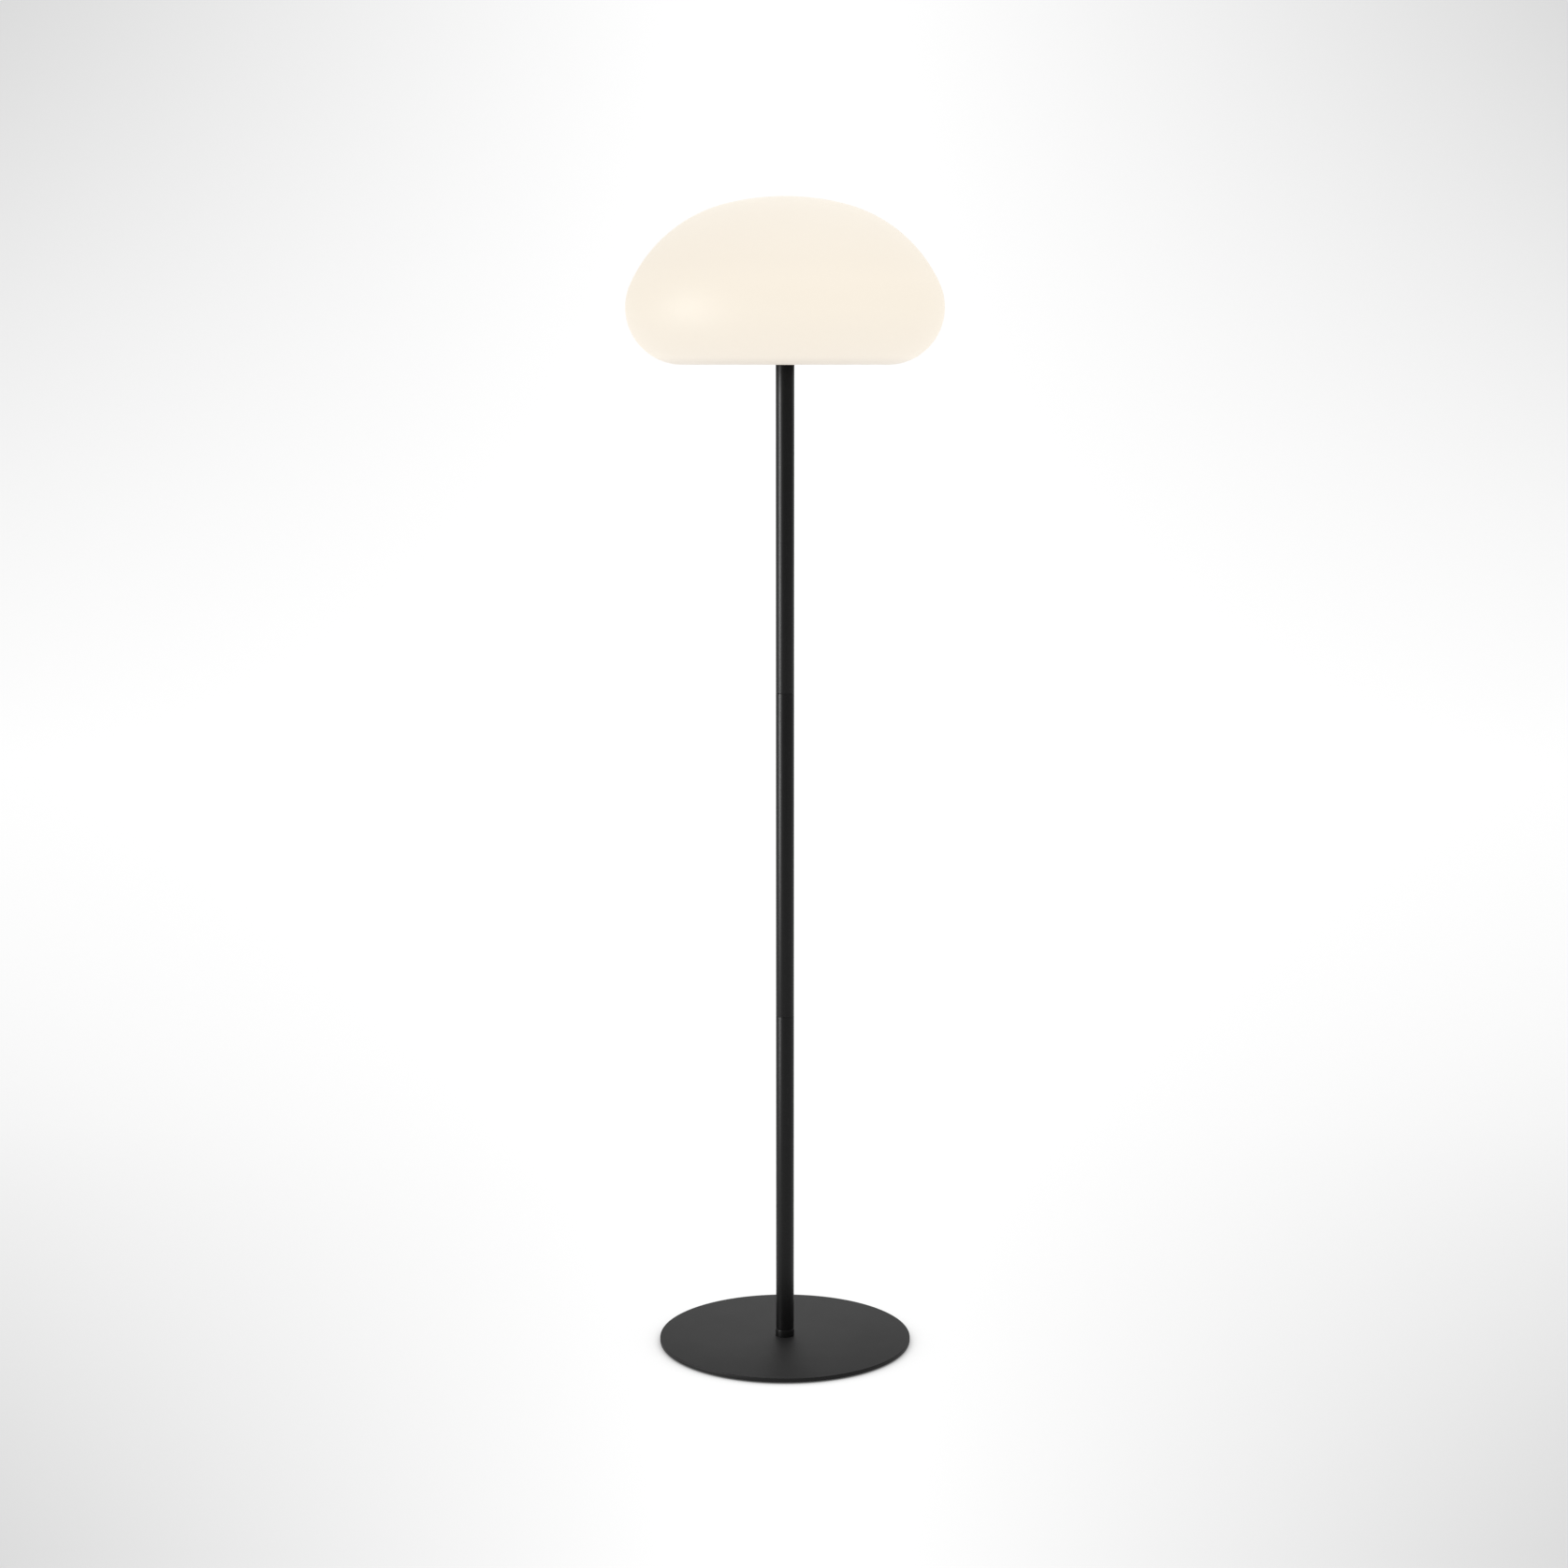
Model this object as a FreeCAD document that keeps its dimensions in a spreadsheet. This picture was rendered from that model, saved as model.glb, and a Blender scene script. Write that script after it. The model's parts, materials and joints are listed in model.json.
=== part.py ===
import FreeCAD, Part
import math
import os
import Sketcher

# A cordless floor lamp: a heavy round base, a slim pole in three screwed
# sections, and a wide opal shade like a mushroom cap.  A sealed light module
# closes the shade from below and screws onto the top of the pole.
# Millimetres, +Z up; the origin is where the lamp's axis meets the floor.

doc = FreeCAD.newDocument("FloorLamp")

# ---------------------------------------------------------------- sizes
DIMENSIONS = [
    # stand
    ("pad_radius", 10.0, "foot pad"),
    ("pad_thick", 2.0, "foot pad"),
    ("pad_ring", 122.0, "radius of the ring of foot pads"),
    ("plate_radius", 140.0, "base plate"),
    ("plate_thick", 4.0, "base plate"),
    ("plate_bevel", 0.7, "bevel of the plate's upper edge"),
    ("collar_radius", 10.5, "collar at the foot of the pole"),
    ("collar_tall", 8.0, "collar at the foot of the pole"),
    ("edge_break", 0.5, "small chamfer on the collar and the tubes"),
    ("base_bolt_radius", 3.0, "M6 screw up into the collar"),
    ("base_bolt_head", 6.0, "radius of its countersunk head"),
    ("base_bolt_long", 15.0, "whole length of the screw"),
    ("base_bolt_key", 2.0, "half the width across flats of its socket"),
    # pole
    ("tube_radius", 10.0, "pole tube, outside"),
    ("tube_wall", 1.5, "pole tube"),
    ("tube_long", 358.5, "one of the three pole sections"),
    ("insert_long", 22.0, "bushes and plugs inside the tube ends"),
    ("thread_radius", 5.0, "M10 studs between the sections"),
    ("stud_long", 16.0, "stud standing out of a plug"),
    # shade, as arcs that run into each other
    ("shade_radius", 170.0, "widest radius of the shade"),
    ("lip_arc", 60.0, "radius of the arc at the lower rim"),
    ("lip_turn", 25.0, "degrees above level where that arc ends"),
    ("shoulder_arc", 152.0, "radius of the arc over the shoulder"),
    ("shoulder_turn", 75.5, "degrees above level where the crown starts"),
    ("shade_wall", 2.6, "moulded wall"),
    ("neck_radius", 60.0, "opening in the underside for the light module"),
    ("mouth_bevel", 1.0, "bevel where the underside turns up to the ledge"),
    # module housing
    ("flange_lap", 8.0, "flange past the neck, closing the underside of the shade"),
    ("flange_thick", 3.0, "flange and floor of the housing"),
    ("gasket_thick", 1.0, "seal between flange and shade"),
    ("housing_tall", 34.0, "underside to rim"),
    ("housing_wall", 2.4, "side wall of the housing"),
    ("boss_radius", 3.5, "bosses for the cover screws"),
    ("boss_inset", 2.8, "centre of a boss in from the side wall"),
    ("clamp_thick", 5.0, "clamp ring inside the shade"),
    ("clamp_width", 9.5, "clamp ring, inside to outside"),
    ("clamp_screw_lap", 4.0, "clamp screws past the neck"),
    ("small_screw", 1.5, "M3 screw shank radius"),
    ("small_head", 2.9, "M3 countersunk head radius"),
    # pole socket in the head
    ("socket_depth", 6.0, "how far the tube enters the head"),
    ("socket_flange_radius", 18.0, "flange of the metal socket"),
    ("socket_flange_thick", 4.0, "flange of the metal socket"),
    ("socket_hub_radius", 12.0, "threaded hub of the socket"),
    ("socket_hub_tall", 28.0, "top of the hub above the underside"),
    ("socket_screw_ring", 14.2, "ring radius of the socket screws"),
    # light source
    ("seal_thick", 1.0, "seal under the heat spreader"),
    ("spreader_thick", 2.0, "heat spreader"),
    ("led_board_clear", 4.5, "light board to the diffuser's wall"),
    ("circuit_thick", 1.6, "both circuit boards"),
    ("chip_side", 3.5, "light chip, square"),
    ("chip_tall", 0.8, "light chip"),
    ("outer_chip_inset", 10.0, "outer light chips in from the edge of their board"),
    ("inner_chip_ring", 12.0, "ring radius of the inner light chips"),
    ("terminal_tall", 3.0, "terminal block on the light board"),
    ("diffuser_inset", 4.5, "diffuser's wall in from the cover screws"),
    ("diffuser_tall", 22.0, "diffuser, with its flange"),
    ("diffuser_slope", 9.0, "sloping shoulder of the diffuser, inward and up"),
    ("diffuser_wall", 1.5, "diffuser"),
    ("diffuser_flange", 2.0, "diffuser flange"),
    ("cover_screw_long", 17.0, "screws through the diffuser's flange"),
    # batteries
    ("cell_radius", 9.15, "battery cell"),
    ("cell_long", 65.0, "battery cell"),
    ("cell_clear", 2.0, "end of a cell to the side wall"),
    ("cradle_floor", 1.5, "cradle under a cell"),
    ("cradle_width", 19.0, "cradle under a cell"),
    ("cradle_tall", 6.0, "cradle under a cell"),
    ("cradle_long", 50.0, "cradle under a cell"),
    ("strip_thick", 0.6, "welded contact strip"),
    ("strip_hook", 3.0, "reach of the strip past the cell's axis and over the board"),
    ("wire_radius", 0.9, "insulated wire"),
    # driver board
    ("board_level", 14.0, "underside of the driver board above the lamp head's underside"),
    ("board_side_clear", 2.0, "driver board to a cell"),
    ("board_end_clear", 0.5, "round ends of the driver board to a boss"),
    ("post_radius", 2.5, "posts that carry the driver board"),
    ("post_inset_side", 7.0, "post in from the board's straight side"),
    ("post_inset_end", 3.5, "post in from the board's round end"),
    ("tiny_screw", 1.0, "M2 screw shank radius"),
    ("tiny_head", 1.9, "M2 screw head radius"),
    ("tiny_head_tall", 1.3, "M2 screw head"),
    ("tiny_screw_long", 7.0, "M2 screw under its head"),
    ("coil_side", 12.0, "inductor on the board"),
    ("coil_tall", 6.0, "inductor on the board"),
    ("can_radius", 4.0, "capacitor on the board"),
    ("can_tall", 9.0, "capacitor on the board"),
    ("plug_side", 7.0, "wire connector on the board"),
    ("plug_tall", 5.0, "wire connector on the board"),
    # push button and its switch
    ("button_radius", 7.5, "push button"),
    ("button_inset", 0.4, "button face above the underside"),
    ("button_bevel", 0.8, "bevel round the button face"),
    ("button_skirt", 1.0, "width of the skirt that keeps the button in"),
    ("skirt_thick", 1.2, "skirt of the button"),
    ("hub_radius", 3.0, "hub of the button"),
    ("hub_top", 7.4, "top of the hub above the underside"),
    ("ring_width", 3.0, "light ring round the button"),
    ("ring_thick", 1.5, "light ring round the button"),
    ("pipe_radius", 0.9, "light pipe from the ring up to the board"),
    ("switch_side", 6.0, "tactile switch"),
    ("switch_tall", 5.2, "tactile switch"),
    ("plunger_radius", 1.7, "switch plunger"),
    ("plunger_long", 2.4, "switch plunger"),
    ("plunger_bore_deep", 2.2, "bore for the plunger in the switch"),
    # charging port and its rubber cover
    ("port_clear", 1.0, "port frame to the posts"),
    ("well_long", 14.0, "port well, X"),
    ("well_width", 8.0, "port well, Y"),
    ("well_deep", 7.8, "port well"),
    ("well_roof", 1.0, "plate over the well"),
    ("frame_wall", 1.7, "wall round the cover's recess"),
    ("frame_flange", 1.5, "flange of the port frame on the housing floor"),
    ("cover_long", 17.0, "hinge line to the free end of the rubber cover"),
    ("cover_width", 11.0, "rubber cover"),
    ("cover_thick", 1.2, "rubber cover"),
    ("cover_plug_tall", 1.5, "plug on the back of the cover"),
    ("anchor_long", 5.0, "fixed end of the cover"),
    ("anchor_pin", 1.4, "radius of the pin on the fixed end"),
    ("shell_long", 9.0, "metal shell of the charging socket, X"),
    ("shell_width", 3.3, "metal shell of the charging socket, Y"),
    ("shell_wall", 0.3, "metal shell of the charging socket"),
    ("tongue_long", 6.6, "contact tongue, X"),
    ("tongue_width", 0.7, "contact tongue, Y"),
    # clearances
    ("gap", 0.3, "between fixed pieces that drop into each other"),
    ("fit", 0.05, "pressed and screwed pieces, radial"),
]
PAD_COUNT = 6
CLAMP_SCREW_COUNT = 4
COVER_SCREW_COUNT = 4
SOCKET_SCREW_COUNT = 3
OUTER_CHIP_COUNT = 18
INNER_CHIP_COUNT = 9


class Size:
    """A length with its number and the spreadsheet formula it comes from."""

    def __init__(self, number, formula=None):
        self.number = float(number)
        self.formula = formula or repr(self.number)

    def _join(self, other, sign, number):
        return Size(number, f"({self.formula} {sign} {other.formula})")

    def __add__(self, other):
        other = as_size(other)
        return self._join(other, "+", self.number + other.number)

    def __sub__(self, other):
        other = as_size(other)
        return self._join(other, "-", self.number - other.number)

    def __mul__(self, other):
        other = as_size(other)
        return self._join(other, "*", self.number * other.number)

    def __truediv__(self, other):
        other = as_size(other)
        return self._join(other, "/", self.number / other.number)

    def __neg__(self):
        return ZERO - self

    __radd__ = __add__
    __rmul__ = __mul__

    def __rsub__(self, other):
        return as_size(other) - self

    def __rtruediv__(self, other):
        return as_size(other) / self


def as_size(value):
    return value if isinstance(value, Size) else Size(value)


def cosine(angle):
    return Size(math.cos(math.radians(angle.number)), f"cos({angle.formula})")


def sine(angle):
    return Size(math.sin(math.radians(angle.number)), f"sin({angle.formula})")


def root(square):
    return Size(math.sqrt(square.number), f"sqrt({square.formula})")


ZERO = Size(0.0)


class Sheet:
    """The driving dimensions, one named attribute each."""


sheet = doc.addObject("Spreadsheet::Sheet", "Sizes")
size = Sheet()
for row, (alias, number, note) in enumerate(DIMENSIONS, 1):
    sheet.set(f"A{row}", alias)
    sheet.set(f"B{row}", str(number))
    sheet.set(f"C{row}", note)
    sheet.setAlias(f"B{row}", alias)
    setattr(size, alias, Size(number, f"Sizes.{alias}"))
doc.recompute()


# ---------------------------------------------------------------- drawing helpers
class Bend:
    """The centre and radius of a side of an outline that is an arc."""

    def __init__(self, across, up, radius):
        self.across = as_size(across)
        self.up = as_size(up)
        self.radius = as_size(radius)


def piece(label, along=ZERO, up=ZERO, across=ZERO):
    """A new body, placed by formulas."""
    body = doc.addObject("PartDesign::Body", label)
    body.Label = label
    for axis, offset in (("x", across), ("y", along), ("z", up)):
        body.setExpression(f"Placement.Base.{axis}", as_size(offset).formula)
    return body


def sketch_on(body, role, lift=ZERO):
    """An empty sketch on one of the body's own planes, or lifted above it."""
    plane = next(f for f in body.Origin.OriginFeatures if f.Role == role)
    sketch = body.newObject("Sketcher::SketchObject", f"{body.Label}_sketch")
    sketch.AttachmentSupport = (plane, [""])
    sketch.MapMode = "FlatFace"
    sketch.setExpression("AttachmentOffset.Base.z", as_size(lift).formula)
    return sketch


def pin(sketch, side, end, point):
    """Hold one end of a side at its place."""
    for axis, line, value in (("X", -2, point[0]), ("Y", -1, point[1])):
        if value is ZERO:
            sketch.addConstraint(Sketcher.Constraint("PointOnObject", side, end, line))
            continue
        rule = Sketcher.Constraint(f"Distance{axis}", -1, 1, side, end, value.number)
        place = sketch.addConstraint(rule)
        sketch.setExpression(f"Constraints[{place}]", value.formula)


def as_point(corner):
    return tuple(ZERO if part == 0 else as_size(part) for part in corner)


def angle_from(centre, corner):
    return math.atan2(corner[1].number - centre.up.number, corner[0].number - centre.across.number)


def outline(sketch, corners, bends=None):
    """A closed outline through the corners; bends gives the sides that are arcs."""
    corners = [as_point(corner) for corner in corners]
    bends = bends or {}
    ends = []
    for number, corner in enumerate(corners):
        after = corners[(number + 1) % len(corners)]
        bend = bends.get(number)
        if bend is None:
            start = FreeCAD.Vector(corner[0].number, corner[1].number, 0)
            stop = FreeCAD.Vector(after[0].number, after[1].number, 0)
            side = sketch.addGeometry(Part.LineSegment(start, stop), False)
            ends.append((side, 1, 2))
            continue
        first = angle_from(bend, corner)
        last = angle_from(bend, after)
        backwards = (last - first) % (2 * math.pi) > math.pi
        if backwards:
            first, last = last, first
        centre = FreeCAD.Vector(bend.across.number, bend.up.number, 0)
        circle = Part.Circle(centre, FreeCAD.Vector(0, 0, 1), bend.radius.number)
        side = sketch.addGeometry(Part.ArcOfCircle(circle, first, last), False)
        ends.append((side, 2, 1) if backwards else (side, 1, 2))
    for number, (side, start, stop) in enumerate(ends):
        pin(sketch, side, start, corners[number])
        next_side, next_start, _ = ends[(number + 1) % len(ends)]
        sketch.addConstraint(Sketcher.Constraint("Coincident", side, stop, next_side, next_start))
    for number, bend in bends.items():
        rule = Sketcher.Constraint("Radius", ends[number][0], bend.radius.number)
        place = sketch.addConstraint(rule)
        sketch.setExpression(f"Constraints[{place}]", bend.radius.formula)
    return sketch


def rectangle(sketch, low, high):
    """An upright rectangle between two opposite corners."""
    corners = [low, (high[0], low[1]), high, (low[0], high[1])]
    return outline(sketch, corners)


def circle(sketch, across, along, radius):
    """A circle with its centre and radius held by formulas."""
    point = as_point((across, along))
    centre = FreeCAD.Vector(point[0].number, point[1].number, 0)
    side = sketch.addGeometry(Part.Circle(centre, FreeCAD.Vector(0, 0, 1), radius.number), False)
    place = sketch.addConstraint(Sketcher.Constraint("Radius", side, radius.number))
    sketch.setExpression(f"Constraints[{place}]", radius.formula)
    if point == (ZERO, ZERO):
        sketch.addConstraint(Sketcher.Constraint("Coincident", side, 3, -1, 1))
    else:
        pin(sketch, side, 3, point)
    return sketch


def turn(body, corners, bends=None, centre=ZERO):
    """A turned solid: the outline (radius, height) about an upright axis."""
    sketch = sketch_on(body, "XZ_Plane")
    axis = "V_Axis"
    if centre is not ZERO:
        foot = FreeCAD.Vector(centre.number, 0, 0)
        line = sketch.addGeometry(Part.LineSegment(foot, foot + FreeCAD.Vector(0, 1, 0)), True)
        sketch.addConstraint(Sketcher.Constraint("Vertical", line))
        sketch.addConstraint(Sketcher.Constraint("Distance", line, 1.0))
        pin(sketch, line, 1, (centre, ZERO))
        corners = [(centre + corner[0], corner[1]) for corner in corners]
        axis = "Axis0"
    outline(sketch, corners, bends)
    solid = body.newObject("PartDesign::Revolution", f"{body.Label}_turned")
    solid.Profile = sketch
    solid.ReferenceAxis = (sketch, [axis])
    solid.Angle = 360
    body.Tip = solid
    return solid


def extrude(body, kind, sketch, depth, upwards=True):
    """A Pad or a Pocket of the given depth from the sketch's plane."""
    feature = body.newObject(f"PartDesign::{kind}", f"{body.Label}_{kind.lower()}")
    feature.Profile = sketch
    feature.Type = "Length"
    feature.Length = depth.number
    feature.setExpression("Length", depth.formula)
    feature.Reversed = upwards if kind == "Pocket" else not upwards
    body.Tip = feature
    return feature


def pad(body, sketch, depth):
    return extrude(body, "Pad", sketch, as_size(depth))


def pocket(body, sketch, depth):
    return extrude(body, "Pocket", sketch, as_size(depth))


def round_ring(body, features, count):
    """The features again, evenly round the body's upright axis."""
    ring = body.newObject("PartDesign::PolarPattern", f"{body.Label}_ring")
    ring.Originals = features
    axis = next(f for f in body.Origin.OriginFeatures if f.Role == "Z_Axis")
    ring.Axis = (axis, [""])
    ring.Angle = 360
    ring.Occurrences = count
    body.Tip = ring
    return ring


def four_ways(body, features):
    """The features again, mirrored left to right and front to back."""
    both = body.newObject("PartDesign::MultiTransform", f"{body.Label}_four")
    both.Originals = features
    mirrors = []
    for role in ("YZ_Plane", "XZ_Plane"):
        plane = next(f for f in body.Origin.OriginFeatures if f.Role == role)
        mirror = body.newObject("PartDesign::Mirrored", f"{body.Label}_mirror")
        mirror.MirrorPlane = (plane, [""])
        mirrors.append(mirror)
    both.Transformations = mirrors
    body.Tip = both
    return both


def rims(shape, radius, height):
    """Names of a shape's round edges of one radius at one height."""
    names = []
    for number, edge in enumerate(shape.Edges, 1):
        if edge.Degenerated or not isinstance(edge.Curve, Part.Circle):
            continue
        same_radius = abs(edge.Curve.Radius - radius.number) < 0.001
        same_height = abs(edge.Curve.Center.z - height.number) < 0.001
        if same_radius and same_height:
            names.append(f"Edge{number}")
    return names


def dress(body, amount, places):
    """A chamfer on the round edges at the given (radius, height) places."""
    doc.recompute()
    base = body.Tip
    names = []
    for radius, height in places:
        names += rims(base.Shape, as_size(radius), as_size(height))
    feature = body.newObject("PartDesign::Chamfer", f"{body.Label}_bevel")
    feature.Base = (base, names)
    feature.Size = amount.number
    feature.setExpression("Size", amount.formula)
    body.Tip = feature
    return feature


# ---------------------------------------------------------------- shared places
plate_top = size.pad_thick + size.plate_thick
pole_foot = plate_top + size.collar_tall
pole_top = pole_foot + size.tube_long * 3
head_level = pole_top - size.socket_depth
bore_radius = size.tube_radius - size.tube_wall

ledge_level = size.flange_thick + size.gasket_thick
ledge_top = ledge_level + size.shade_wall
flange_radius = size.neck_radius + size.flange_lap
clamp_screw_ring = size.neck_radius + size.clamp_screw_lap
mouth_radius = flange_radius + size.gap
housing_radius = size.neck_radius - size.gap
wall_inside = housing_radius - size.housing_wall
boss_ring = wall_inside - size.boss_inset
seal_top = size.housing_tall + size.seal_thick
spreader_top = seal_top + size.spreader_thick
lid_radius = housing_radius - size.gap
diffuser_radius = boss_ring - size.diffuser_inset
led_board_radius = diffuser_radius - size.diffuser_wall - size.led_board_clear
screw_hole = size.small_screw + size.gap
screw_thread = size.small_screw + size.fit

# the cells stand as far out as the side wall lets their ends go; the rest keeps off them
cell_half = size.cell_long / 2
cell_reach = wall_inside - size.cell_clear
cell_offset = root(cell_reach * cell_reach - cell_half * cell_half) - size.cell_radius
board_side = cell_offset - size.cell_radius - size.board_side_clear
board_reach = boss_ring - size.boss_radius - size.board_end_clear
post_across = board_side - size.post_inset_side
post_reach = board_reach - size.post_inset_end
post_along = root(post_reach * post_reach - post_across * post_across)
board_top = size.board_level + size.circuit_thick

frame_half = size.cover_width / 2 + size.gap + size.frame_wall
port_offset = post_along - size.post_radius - size.port_clear - size.frame_flange - frame_half
button_offset = port_offset
plug_along = size.socket_hub_radius + size.plug_side
wire_spread = size.wire_radius + size.gap
lead_hole = wire_spread + size.wire_radius + size.gap
pipe_along = -(button_offset + size.button_radius + size.button_skirt + size.gap + size.pipe_radius)
light_low = size.board_level - size.chip_tall

hinge_across = -size.cover_long / 2
anchor_high = hinge_across - size.cover_thick / 2 - size.gap
anchor_middle = anchor_high - size.anchor_long / 2
frame_low = anchor_high - size.anchor_long - size.gap - size.frame_wall
frame_high = size.cover_long / 2 + size.gap + size.frame_wall


# ---------------------------------------------------------------- stand
def make_foot_pads():
    body = piece("foot_pads")
    disc = pad(body, circle(sketch_on(body, "XY_Plane"), size.pad_ring, 0, size.pad_radius), size.pad_thick)
    round_ring(body, [disc], PAD_COUNT)


def make_base_plate():
    body = piece("base_plate", up=size.pad_thick)
    hole = size.base_bolt_radius + size.gap
    sink = size.base_bolt_head - size.base_bolt_radius
    turn(body, [
        (size.base_bolt_head + size.gap, 0),
        (size.plate_radius, 0),
        (size.plate_radius, size.plate_thick),
        (hole, size.plate_thick),
        (hole, sink),
    ])
    dress(body, size.plate_bevel, [(size.plate_radius, size.plate_thick)])


def make_base_bolt():
    body = piece("base_screw", up=size.pad_thick)
    shank = size.base_bolt_radius - size.fit
    sink = size.base_bolt_head - shank
    turn(body, [
        (0, 0),
        (size.base_bolt_head, 0),
        (shank, sink),
        (shank, size.base_bolt_long),
        (0, size.base_bolt_long),
    ])
    reach = size.base_bolt_key / cosine(Size(30))
    corners = []
    for number in range(6):
        angle = Size(60 * number)
        corners.append((reach * cosine(angle), reach * sine(angle) if number % 3 else 0))
    pocket(body, outline(sketch_on(body, "XY_Plane"), corners), sink)


def make_foot_collar():
    body = piece("foot_collar", up=plate_top)
    stud = size.thread_radius - size.fit
    bore_deep = size.base_bolt_long - size.plate_thick + size.gap
    turn(body, [
        (size.base_bolt_radius, 0),
        (size.collar_radius, 0),
        (size.collar_radius, size.collar_tall),
        (stud, size.collar_tall),
        (stud, size.collar_tall + size.stud_long),
        (0, size.collar_tall + size.stud_long),
        (0, bore_deep),
        (size.base_bolt_radius, bore_deep),
    ])
    dress(body, size.edge_break, [(size.collar_radius, 0), (size.collar_radius, size.collar_tall)])


# ---------------------------------------------------------------- pole
def make_pole_section(name, number):
    """A tube with a threaded bush in its lower end and a studded plug in its upper end."""
    foot = pole_foot + size.tube_long * number
    tube = piece(f"pole_{name}", up=foot)
    turn(tube, [
        (bore_radius, 0),
        (size.tube_radius, 0),
        (size.tube_radius, size.tube_long),
        (bore_radius, size.tube_long),
    ])
    dress(tube, size.edge_break, [(size.tube_radius, 0), (size.tube_radius, size.tube_long)])

    bush = piece(f"pole_bush_{name}", up=foot)
    turn(bush, [
        (size.thread_radius, 0),
        (bore_radius - size.fit, 0),
        (bore_radius - size.fit, size.insert_long),
        (size.thread_radius, size.insert_long),
    ])

    plug = piece(f"pole_stud_{name}", up=foot + size.tube_long - size.insert_long)
    stud = size.thread_radius - size.fit
    turn(plug, [
        (0, 0),
        (bore_radius - size.fit, 0),
        (bore_radius - size.fit, size.insert_long),
        (stud, size.insert_long),
        (stud, size.insert_long + size.stud_long),
        (0, size.insert_long + size.stud_long),
    ])
    dress(plug, size.edge_break, [(stud, size.insert_long + size.stud_long)])


# ---------------------------------------------------------------- shade
def shell_arcs(inset):
    """Corners and arcs of the shade's section, drawn in from the outside by the inset.

    The three arcs touch without a crease: the lip arc stands on the flat
    underside, the shoulder arc takes over at lip_turn, and the crown arc,
    centred on the axis, takes over at shoulder_turn.
    """
    lip_across = size.shade_radius - size.lip_arc
    lip_up = size.lip_arc
    reach = size.shoulder_arc - size.lip_arc
    shoulder_across = lip_across - reach * cosine(size.lip_turn)
    shoulder_up = lip_up - reach * sine(size.lip_turn)
    crown_arc = size.shoulder_arc + shoulder_across / cosine(size.shoulder_turn)
    crown_up = shoulder_up - shoulder_across * sine(size.shoulder_turn) / cosine(size.shoulder_turn)
    lip = Bend(lip_across, lip_up, size.lip_arc - inset)
    shoulder = Bend(shoulder_across, shoulder_up, size.shoulder_arc - inset)
    crown = Bend(ZERO, crown_up, crown_arc - inset)
    corners = [
        (lip_across, inset),
        (lip_across + lip.radius * cosine(size.lip_turn), lip_up + lip.radius * sine(size.lip_turn)),
        (shoulder_across + shoulder.radius * cosine(size.shoulder_turn),
         shoulder_up + shoulder.radius * sine(size.shoulder_turn)),
        (0, crown_up + crown.radius),
    ]
    return corners, [lip, shoulder, crown]


def make_shade():
    body = piece("shade", up=head_level)
    outer, outer_bends = shell_arcs(ZERO)
    inner, inner_bends = shell_arcs(size.shade_wall)
    corners = [
        (size.neck_radius, ledge_level),
        (mouth_radius, ledge_level),
        (mouth_radius, 0),
    ]
    bends = {}
    for number, bend in enumerate(outer_bends):
        bends[len(corners) + number] = bend
    corners += outer
    for number, bend in enumerate(reversed(inner_bends)):
        bends[len(corners) + number] = bend
    corners += list(reversed(inner))
    corners += [
        (mouth_radius + size.shade_wall, size.shade_wall),
        (mouth_radius + size.shade_wall, ledge_top),
        (size.neck_radius, ledge_top),
    ]
    turn(body, corners, bends)
    dress(body, size.mouth_bevel, [(mouth_radius, 0)])
    holes = circle(sketch_on(body, "XY_Plane", ledge_level), clamp_screw_ring, 0, screw_hole)
    round_ring(body, [pocket(body, holes, size.shade_wall)], CLAMP_SCREW_COUNT)


def make_shade_gasket():
    body = piece("shade_gasket", up=head_level + size.flange_thick)
    turn(body, [
        (size.neck_radius, 0),
        (flange_radius, 0),
        (flange_radius, size.gasket_thick),
        (size.neck_radius, size.gasket_thick),
    ])
    holes = circle(sketch_on(body, "XY_Plane"), clamp_screw_ring, 0, screw_hole)
    round_ring(body, [pocket(body, holes, size.gasket_thick)], CLAMP_SCREW_COUNT)


def make_clamp_ring():
    """The ring inside the shade that the flange screws pull down on the ledge."""
    body = piece("clamp_ring", up=head_level + ledge_top)
    turn(body, [
        (size.neck_radius, 0),
        (size.neck_radius + size.clamp_width, 0),
        (size.neck_radius + size.clamp_width, size.clamp_thick),
        (size.neck_radius, size.clamp_thick),
    ])
    holes = circle(sketch_on(body, "XY_Plane"), clamp_screw_ring, 0, screw_thread)
    round_ring(body, [pocket(body, holes, size.clamp_thick)], CLAMP_SCREW_COUNT)


def countersunk_screws(name, foot, ring, long, count, head_down=True):
    """A ring of M3 countersunk screws, heads at the given level."""
    body = piece(name, up=foot)
    sink = size.small_head - size.small_screw
    way = 1 if head_down else -1
    screw = turn(body, [
        (0, 0),
        (size.small_head, 0),
        (size.small_screw, sink * way),
        (size.small_screw, long * way),
        (0, long * way),
    ], centre=ring)
    round_ring(body, [screw], count)


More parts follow.
